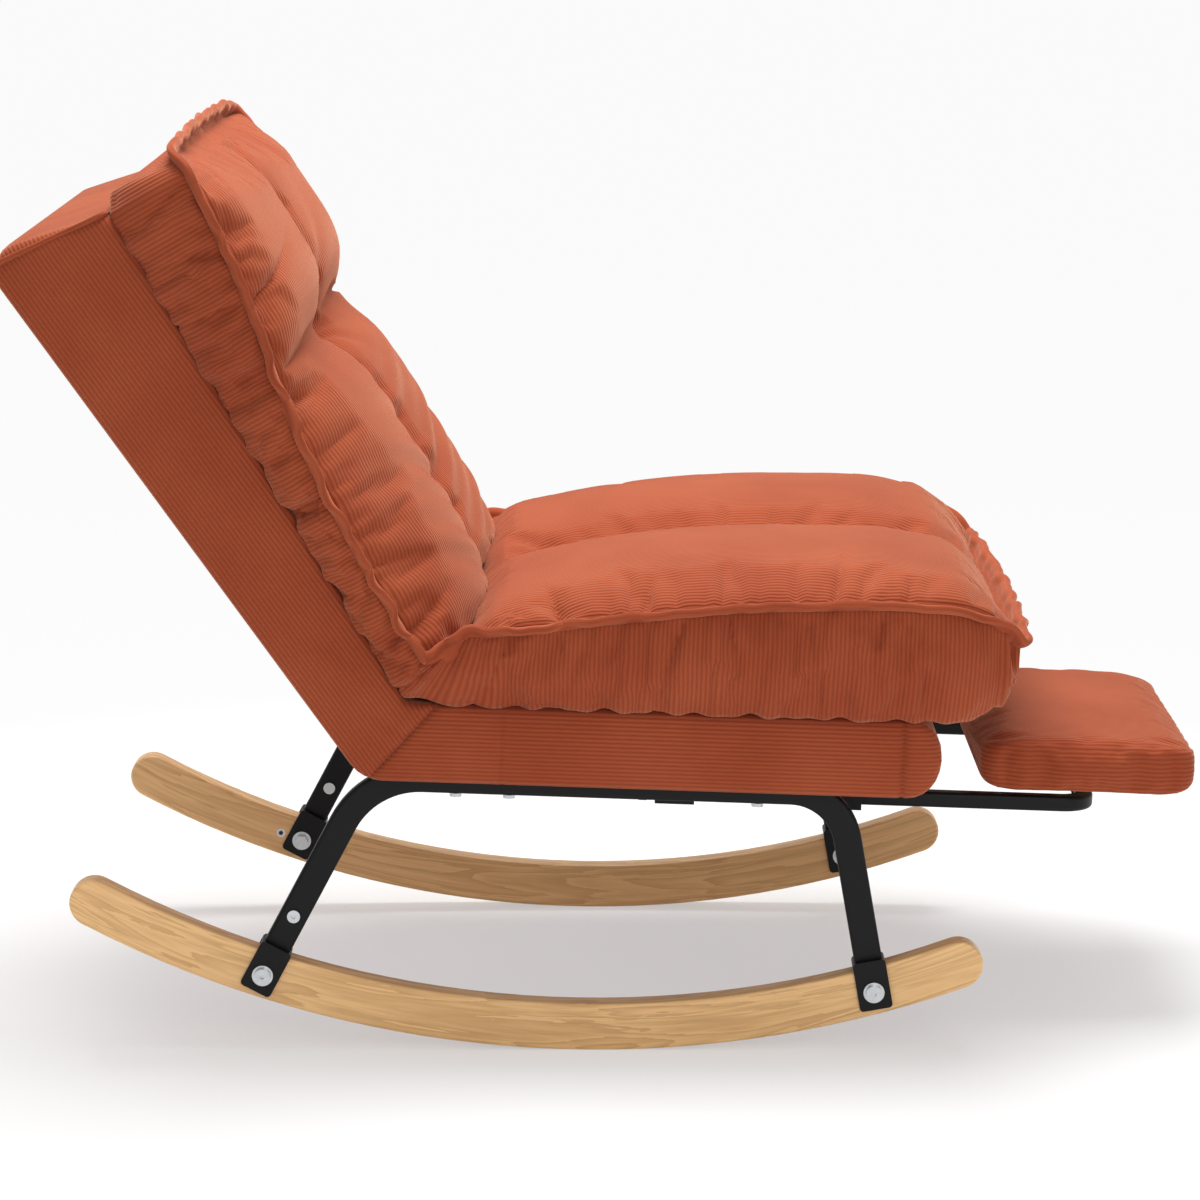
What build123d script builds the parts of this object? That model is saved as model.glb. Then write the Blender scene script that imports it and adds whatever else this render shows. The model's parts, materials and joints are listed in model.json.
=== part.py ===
"""Reclining rocking chair with a pull-out footrest, in millimetres.

The chair faces +X and +Z is up. The origin is on the floor, midway between the two rockers,
under the point where they touch it. The seat lies a little nose down, so the parts above the
rockers are drawn in the seat's own coordinates: u forward along the seat, w up from it.
The back is drawn from its hinge: t forward out of the back, s up along it.
"""
import os
from math import asin, cos, degrees, radians, sin, sqrt, tan

from build123d import *

os.makedirs("parts", exist_ok=True)

# Attitude at rest
seat_pitch = 2.0  # degrees, nose down
back_lean = 37.3  # degrees, back from square to the seat
upright_travel = 12.0  # degrees, forward
fit_gap = 0.3  # between parts that move past each other
bolt_gap = 0.05  # radial, around a shank in its hole

# Rockers
frame_inset = 42.0  # centre planes of the rockers and side frames, in from the sides of the body
rocker_radius = 1080.0  # of the edge on the floor
rocker_depth = 48.0
rocker_thickness = 26.0
rocker_rear_reach = 502.0  # contact point to the centre of the round end
rocker_front_reach = 361.0
rocker_edge = 3.0  # rounding of the long edges
insert_radius = 5.0  # threaded insert in the inner face
insert_bore = 2.5
insert_depth = 12.0
insert_setback = 25.0  # behind the rear bolt, along the rocker

# Side frames, each one bent flat tube
tube_depth = 28.0
tube_width = 16.0
tube_corner = 4.0
tube_wall = 1.5
rail_height = 271.0  # centre of the straight top rail
rear_corner = -237.0  # where the lines of leg and rail cross
front_corner = 231.0
rear_splay = 26.0  # degrees from square to the rail
front_splay = 12.0
rear_bend = 86.0  # centre-line radius
front_bend = 60.0
cross_size = 20.0  # square tube between the side frames
cross_rear = -150.0
cross_front = 170.0

# Forks that straddle the rockers, and their bolts
fork_width = 33.0
fork_plate = 3.0
fork_bridge = 4.0
fork_rise = 32.0  # bolt to the top of the bridge
fork_drop = 18.0  # bolt to the lower edge
fork_corner = 4.0
rocker_bolt = 4.0  # radii
rocker_bolt_head = 8.0
rocker_bolt_head_height = 5.0
washer_radius = 10.5
washer_thickness = 1.6
nut_size = 7.5  # radius over the corners
nut_height = 6.5
leg_bolt = 3.0
leg_bolt_head = 6.5
leg_bolt_rise = 67.0  # above the rocker bolt, along the rear leg
seat_bolt = 3.0
seat_bolt_head = 6.0
seat_bolt_head_height = 3.5
seat_bolt_depth = 34.0  # into the timber
seat_bolt_places = (-150.0, -97.0, 150.0)
hex_key = 2.5  # radius of the socket in each bolt head

# Seat base: timber frame, webbing, padded panels
body_width = 644.0
panel = 30.0  # thickness of the padded side panels
base_bottom = 274.0
base_top = 355.0
front_panel = 38.0
front_flat = 10.0  # straight part of the front panel before its bullnose
base_front = 328.0
timber = 30.0
frame_rear = -160.0
rear_rail_clear = 5.0  # ahead of the hinges' arms
front_timber = 75.0
slat_thickness = 20.0
deck = 10.0
webbing = 2.0
strap_width = 50.0
seat_straps = 6
dust_cloth = 1.5

# Back: timber frame, webbing, padded panels
hinge_setback = -222.0
back_foot_depth = 80.0  # depth of the back at its hinge
back_top_depth = 132.0
back_height = 604.0  # hinge to the top
rear_panel = 8.0
top_panel = 30.0
top_fall = 24.0  # of the top panel, from the rear to the front
stile_rear = -8.0
stile_front = 26.0
stile_foot = 46.0
back_rail = 36.0
back_rail_clear = 8.0  # above the hinges' arms
back_straps = 6
back_top_round = 26.0

# Reclining hinges
arm = 4.0  # plate thickness
arm_width = 30.0
seat_arm_length = 115.0
back_arm_length = 140.0
hub_radius = 25.0
hub_height = 8.0
pin_radius = 5.0
pin_head = 9.0
pin_head_height = 2.5
arm_screw = 2.5
arm_screw_head = 5.0
arm_screw_head_height = 2.5
arm_screw_depth = 12.0

# Cushion, a seat and a back that fold at the crease
cushion_over = 24.0  # beyond the panels, each side
cushion_inset = 2.0  # of its underside, each side
seat_cushion_front = 397.0
seat_lobe = 165.0  # crest of each lobe from the middle
crease_angle = 45.0  # of the seat cushion's rear end, seen from the hinge
cushion_top_drop = 14.0  # below the top of the back
# Along the seat: share of its length, share of its width, underside, seam, crest and valley heights
seat_stations = (
    (0.00, 0.98, 0, 66, 94, 72),
    (0.14, 0.985, 0, 78, 116, 86),
    (0.31, 0.995, 0, 92, 143, 102),
    (0.49, 1.00, 0, 106, 158, 114),
    (0.66, 1.00, 0, 113, 162, 120),
    (0.83, 0.995, 0, 115, 159, 119),
    (0.92, 0.98, 2, 109, 145, 110),
    (0.975, 0.96, 16, 95, 118, 95),
    (1.00, 0.93, 40, 78, 88, 78),
)
# Up the back: share of its height, share of its width, underside, seam, crest and valley heights
back_stations = (
    (0.03, 0.98, 0, 42, 104, 80),
    (0.164, 0.995, 0, 38, 118, 86),
    (0.345, 1.00, 0, 40, 119, 86),
    (0.533, 0.995, 0, 50, 113, 80),
    (0.615, 0.985, 0, 59, 95, 62),
    (0.705, 0.995, 0, 69, 126, 90),
    (0.836, 0.99, 0, 80, 129, 98),
    (0.926, 0.98, 0, 85, 122, 96),
    (0.977, 0.965, 2, 86, 106, 90),
    (1.00, 0.93, 12, 82, 92, 84),
)

# Footrest
slide_width = 18.0  # flat tube of the sliding rails
slide_depth = 16.0
slide_corner = 4.0
slide_wall = 1.5
slide_spacing = 350.0
slide_height = 243.0
slide_bend = 26.0
stub_length = 9.0  # straight end of each rail, beyond its bend
pivot_place = 490.0
footrest_travel = 200.0
guide_length = 40.0
guide_clear = 4.0  # front guide to the rails' bends, pushed in
guide_rear = 50.0
guide_wall = 2.0
guide_flange = 16.0
liner_width = 26.0
liner_top = 4.5
liner_floor = 1.5
stop_length = 8.0
stop_over = 2.5  # beyond the tube all round
stop_plug = 14.0
guide_screw = 2.0
guide_screw_head = 4.0
guide_screw_head_height = 2.0
guide_screw_depth = 14.0
pad_length = 220.0
pad_width = 390.0
pad_height = 55.0
pad_lift = 14.0  # pivot to the underside
pad_side_round = 8.0
# Along the pad: share of its length, share of its width; underside, shoulder and crown as shares of its height
pad_stations = (
    (0.00, 0.93, 0.16, 0.72, 0.80),
    (0.06, 0.985, 0.00, 0.85, 0.93),
    (0.22, 1.00, 0.00, 0.89, 0.985),
    (0.50, 0.985, 0.00, 0.90, 1.00),
    (0.78, 1.00, 0.00, 0.89, 0.985),
    (0.94, 0.985, 0.00, 0.85, 0.93),
    (1.00, 0.93, 0.16, 0.72, 0.80),
)
board_margin = 18.0
board = 12.0
saddle_wall = 2.5
saddle_width = 30.0
saddle_reach = 26.0
saddle_place = 105.0
saddle_plate = 3.0
saddle_screw_depth = 10.0

# Directions of the seat's and the back's coordinates
pitch = radians(seat_pitch)
U = Vector(cos(pitch), 0, -sin(pitch))
W = Vector(sin(pitch), 0, cos(pitch))
RIGHT = Vector(0, -1, 0)
lean = radians(back_lean)
T = U * cos(lean) + W * sin(lean)
hinge_height = base_bottom + back_foot_depth / 2
knuckle = back_foot_depth / 2
sides = {"right": -1, "left": 1}

# Levels and widths that several parts share
rocker_spacing = body_width - 2 * frame_inset
rail_top = rail_height + tube_depth / 2
rail_bottom = rail_height - tube_depth / 2
rail_inner = (rocker_spacing - tube_width) / 2
body_half = body_width / 2
inner_half = body_half - panel
timber_inner = inner_half - timber
cushion_width = body_width + 2 * cushion_over
cushion_foot_width = body_width - 2 * cushion_inset
timber_top = base_top - deck - webbing
panel_front = base_front - front_panel
timber_front = panel_front - front_timber
pivot_radius = slide_depth / 2 - slide_wall - bolt_gap
slide_stub = slide_spacing / 2 - slide_bend - stub_length
guide_front = pivot_place - footrest_travel - slide_bend - guide_clear - guide_length
slide_low = slide_height - slide_depth / 2 - fit_gap - liner_floor - guide_wall
dust_bottom = rail_top - dust_cloth


def seat_point(u, w, y=0.0):
    """A point from the seat's coordinates."""
    return U * u + W * w + Vector(0, y, 0)


def seat_side(y=0.0):
    """The upright plane along the seat at width y, with u to the right and w up."""
    return Plane(origin=(0, y, 0), x_dir=U, z_dir=RIGHT)


def seat_level(w):
    """The plane of the seat at height w."""
    return Plane(origin=seat_point(0, w), x_dir=U, z_dir=W)


def seat_section(u):
    """The plane across the seat at u, with the width to the right and w up."""
    return Plane(origin=seat_point(u, 0), x_dir=(0, 1, 0), z_dir=U)


def back_side(y=0.0):
    """The upright plane along the back at width y, with t to the right and s up."""
    return Plane(origin=seat_point(hinge_setback, hinge_height, y), x_dir=T, z_dir=RIGHT)


def leg_foot(corner, splay):
    """Where the line of a leg crosses the middle of the rocker."""
    centre_u = -rocker_radius * sin(pitch)
    centre_w = rocker_radius * cos(pitch)
    du = sin(radians(splay))
    dw = -cos(radians(splay))
    across = du * (corner - centre_u) + dw * (rail_height - centre_w)
    square = (corner - centre_u) ** 2 + (rail_height - centre_w) ** 2 - (rocker_radius - rocker_depth / 2) ** 2
    reach = -across + sqrt(across**2 - square)
    return corner + du * reach, rail_height + dw * reach


def up_leg(foot, splay, rise):
    """A point on a leg's centre line, rise above its rocker bolt."""
    return foot[0] - sin(radians(splay)) * rise, foot[1] + cos(radians(splay)) * rise


# The rear leg splays back, so its angle is negative
legs = {"rear": (rear_corner, -rear_splay), "front": (front_corner, front_splay)}
feet = {end: leg_foot(*leg) for end, leg in legs.items()}
leg_bolt_place = up_leg(feet["rear"], -rear_splay, leg_bolt_rise)


def fork_plane(end, y):
    """The upright plane at a rocker bolt, with its second axis up the leg."""
    splay = radians(legs[end][1])
    return Plane(origin=seat_point(*feet[end], y), x_dir=U * cos(splay) + W * sin(splay), z_dir=RIGHT)


# Rockers: bent boards with round ends, bored for the fork bolts and the inserts
rocker_middle = rocker_radius - rocker_depth / 2
rear_sweep = degrees(asin(rocker_rear_reach / rocker_middle))
front_sweep = degrees(asin(rocker_front_reach / rocker_middle))
rocker_line = CenterArc((0, rocker_radius), rocker_middle, -90 - rear_sweep, rear_sweep + front_sweep)
rear_bolt_x = seat_point(*feet["rear"]).X
insert_turn = asin(-rear_bolt_x / rocker_middle) + insert_setback / rocker_middle
insert_place = (-rocker_middle * sin(insert_turn), rocker_radius - rocker_middle * cos(insert_turn))

for name, side in sides.items():
    with BuildPart() as rocker:
        with BuildSketch(Plane.XZ.offset(-side * rocker_spacing / 2)):
            SlotArc(rocker_line, rocker_depth)
        extrude(amount=rocker_thickness / 2, both=True)
        fillet(rocker.edges().filter_by(Axis.Y, reverse=True), rocker_edge)
        with BuildSketch(seat_side(side * rocker_spacing / 2)):
            with Locations(*feet.values()):
                Circle(rocker_bolt + bolt_gap)
        extrude(amount=rocker_thickness, both=True, mode=Mode.SUBTRACT)
        with BuildSketch(Plane.XZ.offset(-side * (rocker_spacing - rocker_thickness) / 2)):
            with Locations(insert_place):
                Circle(insert_radius)
        extrude(amount=-side * insert_depth, mode=Mode.SUBTRACT)
    rocker.part.label = f"rocker_{name}"
    export_step(rocker.part, f"parts/rocker_{name}.step")

with BuildPart() as rocker_inserts:
    for side in sides.values():
        with BuildSketch(Plane.XZ.offset(-side * (rocker_spacing - rocker_thickness) / 2)):
            with Locations(insert_place):
                Circle(insert_radius)
                Circle(insert_bore, mode=Mode.SUBTRACT)
        extrude(amount=-side * insert_depth)
rocker_inserts.part.label = "rocker_inserts"
export_step(rocker_inserts.part, "parts/rocker_inserts.step")

# Side frames: leg, top rail and leg in one tube, bored for its bolts
frame_line = (
    up_leg(feet["rear"], -rear_splay, fork_rise),
    (rear_corner, rail_height),
    (front_corner, rail_height),
    up_leg(feet["front"], front_splay, fork_rise),
)
for name, side in sides.items():
    middle = side * rocker_spacing / 2
    with BuildPart() as side_frame:
        with BuildLine(seat_side(middle)) as path:
            FilletPolyline(*frame_line, radius=(rear_bend, front_bend))
        with BuildSketch(Plane(origin=path.line @ 0, x_dir=(0, 1, 0), z_dir=path.line % 0)):
            RectangleRounded(tube_width, tube_depth, tube_corner)
            RectangleRounded(
                tube_width - 2 * tube_wall,
                tube_depth - 2 * tube_wall,
                tube_corner - tube_wall,
                mode=Mode.SUBTRACT,
            )
        sweep()
        with BuildSketch(seat_side(middle)):
            with Locations(leg_bolt_place):
                Circle(leg_bolt + bolt_gap)
        extrude(amount=tube_width, both=True, mode=Mode.SUBTRACT)
        with BuildSketch(seat_level(rail_height)):
            with Locations(*[(place, middle) for place in seat_bolt_places]):
                Circle(seat_bolt + bolt_gap)
        extrude(amount=tube_depth, both=True, mode=Mode.SUBTRACT)
    side_frame.part.label = f"side_frame_{name}"
    export_step(side_frame.part, f"parts/side_frame_{name}.step")

# Forks: a bridge under the leg and a plate down each face of the rocker
for end in legs:
    for name, side in sides.items():
        with BuildPart() as fork:
            with BuildSketch(fork_plane(end, side * rocker_spacing / 2)):
                with Locations((0, (fork_rise - fork_drop) / 2)):
                    RectangleRounded(fork_width, fork_rise + fork_drop, fork_corner)
                Circle(rocker_bolt + bolt_gap, mode=Mode.SUBTRACT)
            extrude(amount=rocker_thickness / 2 + fork_plate, both=True)
            with BuildSketch(fork_plane(end, side * rocker_spacing / 2)):
                with Locations((0, fork_rise - fork_bridge)):
                    Rectangle(2 * fork_width, 2 * fork_rise + fork_drop, align=(Align.CENTER, Align.MAX))
            extrude(amount=rocker_thickness / 2, both=True, mode=Mode.SUBTRACT)
        fork.part.label = f"{end}_fork_{name}"
        export_step(fork.part, f"parts/{end}_fork_{name}.step")

# Rocker bolts with their washers and nuts
fork_face = rocker_spacing / 2 + rocker_thickness / 2 + fork_plate
fork_inner = rocker_spacing / 2 - rocker_thickness / 2 - fork_plate
bolt_length = fork_face - fork_inner + 2 * washer_thickness + nut_height

with BuildPart() as rocker_bolts:
    for side in sides.values():
        with BuildSketch(seat_side(side * (fork_face + washer_thickness))):
            with Locations(*feet.values()):
                Circle(rocker_bolt_head)
        extrude(amount=-side * rocker_bolt_head_height)
        with BuildSketch(seat_side(side * (fork_face + washer_thickness))):
            with Locations(*feet.values()):
                Circle(rocker_bolt)
        extrude(amount=side * bolt_length)
        with BuildSketch(seat_side(side * (fork_face + washer_thickness + rocker_bolt_head_height))):
            with Locations(*feet.values()):
                RegularPolygon(hex_key, 6)
        extrude(amount=side * rocker_bolt_head_height / 2, mode=Mode.SUBTRACT)
rocker_bolts.part.label = "rocker_bolts"
export_step(rocker_bolts.part, "parts/rocker_bolts.step")

with BuildPart() as rocker_washers:
    for side in sides.values():
        for face, outward in ((fork_face, 1), (fork_inner, -1)):
            with BuildSketch(seat_side(side * face)):
                with Locations(*feet.values()):
                    Circle(washer_radius)
                    Circle(rocker_bolt + bolt_gap, mode=Mode.SUBTRACT)
            extrude(amount=-side * outward * washer_thickness)
rocker_washers.part.label = "rocker_washers"
export_step(rocker_washers.part, "parts/rocker_washers.step")

with BuildPart() as rocker_nuts:
    for side in sides.values():
        with BuildSketch(seat_side(side * (fork_inner - washer_thickness))):
            with Locations(*feet.values()):
                RegularPolygon(nut_size, 6)
                Circle(rocker_bolt + bolt_gap, mode=Mode.SUBTRACT)
        extrude(amount=side * nut_height)
rocker_nuts.part.label = "rocker_nuts"
export_step(rocker_nuts.part, "parts/rocker_nuts.step")

# Small bolts across the rear legs
leg_face = (rocker_spacing + tube_width) / 2
with BuildPart() as leg_bolts:
    for side in sides.values():
        with BuildSketch(seat_side(side * leg_face)):
            with Locations(leg_bolt_place):
                Circle(leg_bolt_head)
        extrude(amount=-side * seat_bolt_head_height)
        with BuildSketch(seat_side(side * leg_face)):
            with Locations(leg_bolt_place):
                Circle(leg_bolt)
        extrude(amount=side * (tube_width + seat_bolt_head_height))
        with BuildSketch(seat_side(side * (leg_face + seat_bolt_head_height))):
            with Locations(leg_bolt_place):
                RegularPolygon(hex_key, 6)
        extrude(amount=side * seat_bolt_head_height / 2, mode=Mode.SUBTRACT)
leg_bolts.part.label = "leg_bolts"
export_step(leg_bolts.part, "parts/leg_bolts.step")

with BuildPart() as leg_nuts:
    for side in sides.values():
        with BuildSketch(seat_side(side * rail_inner)):
            with Locations(leg_bolt_place):
                Circle(leg_bolt_head)
                Circle(leg_bolt + bolt_gap, mode=Mode.SUBTRACT)
        extrude(amount=side * seat_bolt_head_height)
leg_nuts.part.label = "leg_nuts"
export_step(leg_nuts.part, "parts/leg_nuts.step")

# Cross tubes between the side frames
for name, place in (("rear", cross_rear), ("front", cross_front)):
    with BuildPart() as cross_tube:
        with BuildSketch(seat_side()):
            with Locations((place, rail_height)):
                Rectangle(cross_size, cross_size)
                Rectangle(cross_size - 2 * tube_wall, cross_size - 2 * tube_wall, mode=Mode.SUBTRACT)
        extrude(amount=rail_inner, both=True)
    cross_tube.part.label = f"{name}_cross_tube"
    export_step(cross_tube.part, f"parts/{name}_cross_tube.step")

# Bolts up through the top rails into the timber
with BuildPart() as seat_bolts:
    places = [(place, side * rocker_spacing / 2) for place in seat_bolt_places for side in sides.values()]
    with BuildSketch(seat_level(rail_bottom)):
        with Locations(*places):
            Circle(seat_bolt_head)
    extrude(amount=-seat_bolt_head_height)
    with BuildSketch(seat_level(rail_bottom)):
        with Locations(*places):
            Circle(seat_bolt)
    extrude(amount=tube_depth + seat_bolt_depth)
seat_bolts.part.label = "seat_bolts"
export_step(seat_bolts.part, "parts/seat_bolts.step")

# Places of the guides' and the hinges' screws
guide_half = liner_width / 2 + guide_wall
guide_screw_out = guide_half + guide_flange / 2
guide_places = [(start + guide_length / 2, side * slide_spacing / 2)
                for start in (guide_front, guide_rear) for side in sides.values()]
guide_screw_places = [(u, y + step * guide_screw_out) for u, y in guide_places for step in (-1, 1)]
arm_screw_share = (0.6, 0.85)
seat_arm_screws = [(hinge_setback + share * seat_arm_length, hinge_height) for share in arm_screw_share]
back_arm_screws = [(0, share * back_arm_length) for share in arm_screw_share]

# Timber frame of the seat
for name, side in sides.items():
    with BuildPart() as seat_side_rail:
        with BuildSketch(seat_level(rail_top)):
            with Locations(((frame_rear + timber_front) / 2, side * (inner_half - timber / 2))):
                Rectangle(timber_front - frame_rear, timber)
        extrude(amount=timber_top - rail_top)
        with BuildSketch(seat_level(rail_top)):
            with Locations(*[(place, side * rocker_spacing / 2) for place in seat_bolt_places]):
                Circle(seat_bolt + bolt_gap)
        extrude(amount=seat_bolt_depth, mode=Mode.SUBTRACT)
        with BuildSketch(seat_side(side * timber_inner)):
            with Locations(*seat_arm_screws):
                Circle(arm_screw + bolt_gap)
        extrude(amount=-side * arm_screw_depth, mode=Mode.SUBTRACT)
    seat_side_rail.part.label = f"seat_side_rail_{name}"
    export_step(seat_side_rail.part, f"parts/seat_side_rail_{name}.step")

rear_rail_start = hinge_setback + seat_arm_length + rear_rail_clear
cross_timbers = {
    "seat_front_rail": (timber_front, panel_front, inner_half, timber_top),
    "seat_cross_slat": (guide_rear, guide_rear + guide_length, timber_inner, rail_top + slat_thickness),
    "seat_rear_rail": (rear_rail_start, rear_rail_start + timber, timber_inner, timber_top),
}
for name, (start, end, half, top) in cross_timbers.items():
    with BuildPart() as cross_timber:
        with BuildSketch(seat_level(rail_top)):
            with Locations(((start + end) / 2, 0)):
                Rectangle(end - start, 2 * half)
        extrude(amount=top - rail_top)
        with BuildSketch(seat_level(rail_top)):
            with Locations(*guide_screw_places):
                Circle(guide_screw + bolt_gap)
        extrude(amount=guide_screw_depth, mode=Mode.SUBTRACT)
    cross_timber.part.label = name
    export_step(cross_timber.part, f"parts/{name}.step")

strap_step = (panel_front - frame_rear - strap_width) / (seat_straps - 1)
with BuildPart() as seat_webbing:
    with BuildSketch(seat_level(timber_top)):
        with Locations(((frame_rear + panel_front) / 2, 0)):
            with GridLocations(strap_step, 0, seat_straps, 1):
                Rectangle(strap_width, 2 * inner_half)
    extrude(amount=webbing)
seat_webbing.part.label = "seat_webbing"
export_step(seat_webbing.part, "parts/seat_webbing.step")

# The space that the back's foot sweeps: a round knuckle, and the fan above it
upright_normal = radians(back_lean - upright_travel - 1) - asin(
    (back_top_depth - back_foot_depth) / back_height
)
socket = knuckle + fit_gap
sweep_edge = (socket * cos(upright_normal), socket * sin(upright_normal))
sweep_height = base_top - base_bottom
sweep_top = (sweep_edge[0] - tan(upright_normal) * sweep_height, sweep_edge[1] + sweep_height)

with BuildSketch(seat_side()) as back_sweep:
    with Locations((hinge_setback, hinge_height)):
        Circle(socket)
        Polygon(
            (0, 0),
            sweep_edge,
            sweep_top,
            (-2 * knuckle, sweep_top[1]),
            (-2 * knuckle, 0),
            align=None,
        )


def beyond_ray(angle, turn):
    """The area on one side of a ray from the hinge, to cut a cushion at the crease."""
    ray = radians(angle)
    reach = 3 * (seat_cushion_front - hinge_setback)
    along = (reach * cos(ray), reach * sin(ray))
    beyond = (along[0] - turn * along[1], along[1] + turn * along[0])
    behind = (beyond[0] - 2 * along[0], beyond[1] - 2 * along[1])
    with BuildSketch(seat_side()) as area:
        with Locations(hinge_place):
            Polygon((-along[0], -along[1]), along, beyond, behind, align=None)
    return area.sketch


hinge_place = (hinge_setback, hinge_height)
seat_crease = beyond_ray(crease_angle, 1)
tail = hinge_setback + knuckle / 3
with BuildPart() as seat_deck:
    with BuildSketch(seat_level(base_top - deck)):
        with Locations(((tail + panel_front) / 2, 0)):
            Rectangle(panel_front - tail, 2 * inner_half)
    extrude(amount=deck)
    extrude(back_sweep.sketch, amount=body_width, both=True, mode=Mode.SUBTRACT)
    extrude(seat_crease, amount=body_width, both=True, mode=Mode.SUBTRACT)
seat_deck.part.label = "seat_deck"
export_step(seat_deck.part, "parts/seat_deck.step")

for name, side in sides.items():
    with BuildPart() as seat_side_panel:
        with BuildSketch(seat_level(base_bottom)):
            with Locations(((tail + panel_front) / 2, side * (inner_half + panel / 2))):
                Rectangle(panel_front - tail, panel)
        extrude(amount=base_top - base_bottom)
        extrude(back_sweep.sketch, amount=body_width, both=True, mode=Mode.SUBTRACT)
        extrude(seat_crease, amount=body_width, both=True, mode=Mode.SUBTRACT)
    seat_side_panel.part.label = f"seat_side_panel_{name}"
    export_step(seat_side_panel.part, f"parts/seat_side_panel_{name}.step")

with BuildPart() as seat_front_panel:
    with BuildSketch(seat_side()):
        with BuildLine():
            Polyline(
                (panel_front + front_flat, base_top),
                (panel_front, base_top),
                (panel_front, base_bottom),
                (panel_front + front_flat, base_bottom),
            )
            ThreePointArc(
                (panel_front + front_flat, base_bottom),
                (base_front, (base_bottom + base_top) / 2),
                (panel_front + front_flat, base_top),
            )
        make_face()
    extrude(amount=body_half, both=True)
seat_front_panel.part.label = "seat_front_panel"
export_step(seat_front_panel.part, "parts/seat_front_panel.step")

with BuildPart() as dust_cover:
    with BuildSketch(seat_level(dust_bottom)):
        with Locations(((frame_rear + panel_front) / 2, 0)):
            Rectangle(panel_front - frame_rear, 2 * (rail_inner - fit_gap))
        with Locations(*guide_screw_places):
            Circle(guide_screw + bolt_gap, mode=Mode.SUBTRACT)
    extrude(amount=dust_cloth)
dust_cover.part.label = "dust_cover"
export_step(dust_cover.part, "parts/dust_cover.step")

# Guides of the footrest: a steel channel with flanges, a slippery liner and four screws a pair
with BuildPart() as slide_guides:
    for u, y in guide_places:
        with BuildSketch(seat_section(u - guide_length / 2)):
            with Locations((y, slide_low)):
                Rectangle(2 * guide_half, dust_bottom - slide_low, align=(Align.CENTER, Align.MIN))
            with Locations((y, dust_bottom)):
                Rectangle(2 * (guide_half + guide_flange), guide_wall, align=(Align.CENTER, Align.MAX))
            with Locations((y, slide_low + guide_wall)):
                Rectangle(liner_width, dust_bottom - slide_low, align=(Align.CENTER, Align.MIN), mode=Mode.SUBTRACT)
        extrude(amount=guide_length)
    with BuildSketch(seat_level(dust_bottom)):
        with Locations(*guide_screw_places):
            Circle(guide_screw + bolt_gap)
    extrude(amount=-guide_wall, mode=Mode.SUBTRACT)
slide_guides.part.label = "slide_guides"
export_step(slide_guides.part, "parts/slide_guides.step")

liner_low = slide_low + guide_wall
liner_height = slide_depth + 2 * fit_gap + liner_floor + liner_top
with BuildPart() as slide_liners:
    for u, y in guide_places:
        with BuildSketch(seat_section(u - guide_length / 2)):
            with Locations((y, liner_low)):
                Rectangle(liner_width, liner_height, align=(Align.CENTER, Align.MIN))
            with Locations((y, slide_height)):
                Rectangle(slide_width + 2 * fit_gap, slide_depth + 2 * fit_gap, mode=Mode.SUBTRACT)
        extrude(amount=guide_length)
slide_liners.part.label = "slide_liners"
export_step(slide_liners.part, "parts/slide_liners.step")

with BuildPart() as guide_screws:
    with BuildSketch(seat_level(dust_bottom - guide_wall)):
        with Locations(*guide_screw_places):
            Circle(guide_screw_head)
    extrude(amount=-guide_screw_head_height)
    with BuildSketch(seat_level(dust_bottom - guide_wall)):
        with Locations(*guide_screw_places):
            Circle(guide_screw)
    extrude(amount=guide_wall + dust_cloth + guide_screw_depth)
guide_screws.part.label = "guide_screws"
export_step(guide_screws.part, "parts/guide_screws.step")

# Hinges: a seat arm and a back arm on one pin, with the ratchet's hub outside the seat arm
seat_arm_face = timber_inner - arm
back_arm_outer = seat_arm_face - fit_gap
back_arm_inner = back_arm_outer - arm
for name, side in sides.items():
    with BuildPart() as seat_arm:
        with BuildSketch(seat_side(side * timber_inner)):
            with Locations((hinge_setback, hinge_height)):
                Circle(hub_radius)
                Rectangle(seat_arm_length, arm_width, align=(Align.MIN, Align.CENTER))
                Circle(pin_radius + bolt_gap, mode=Mode.SUBTRACT)
            with Locations(*seat_arm_screws):
                Circle(arm_screw + bolt_gap, mode=Mode.SUBTRACT)
        extrude(amount=side * arm)
    seat_arm.part.label = f"hinge_seat_arm_{name}"
    export_step(seat_arm.part, f"parts/hinge_seat_arm_{name}.step")

    with BuildPart() as back_arm:
        with BuildSketch(back_side(side * back_arm_outer)):
            Circle(hub_radius)
            Rectangle(arm_width, back_arm_length, align=(Align.CENTER, Align.MIN))
            Circle(pin_radius + bolt_gap, mode=Mode.SUBTRACT)
            with Locations(*back_arm_screws):
                Circle(arm_screw + bolt_gap, mode=Mode.SUBTRACT)
        extrude(amount=side * arm)
    back_arm.part.label = f"hinge_back_arm_{name}"
    export_step(back_arm.part, f"parts/hinge_back_arm_{name}.step")

with BuildPart() as hinge_hubs:
    for side in sides.values():
        with BuildSketch(seat_side(side * timber_inner)):
            with Locations(hinge_place):
                Circle(hub_radius)
                Circle(pin_radius + bolt_gap, mode=Mode.SUBTRACT)
        extrude(amount=-side * hub_height)
hinge_hubs.part.label = "hinge_hubs"
export_step(hinge_hubs.part, "parts/hinge_hubs.step")

pin_outer = timber_inner + hub_height
pin_inner = back_arm_inner - fit_gap
with BuildPart() as hinge_pins:
    for side in sides.values():
        for place, outward in ((pin_outer, 1), (pin_inner, -1)):
            with BuildSketch(seat_side(side * place)):
                with Locations(hinge_place):
                    Circle(pin_head)
            extrude(amount=-side * outward * pin_head_height)
        with BuildSketch(seat_side(side * pin_outer)):
            with Locations(hinge_place):
                Circle(pin_radius)
        extrude(amount=side * (pin_outer - pin_inner))
hinge_pins.part.label = "hinge_pins"
export_step(hinge_pins.part, "parts/hinge_pins.step")

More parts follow.
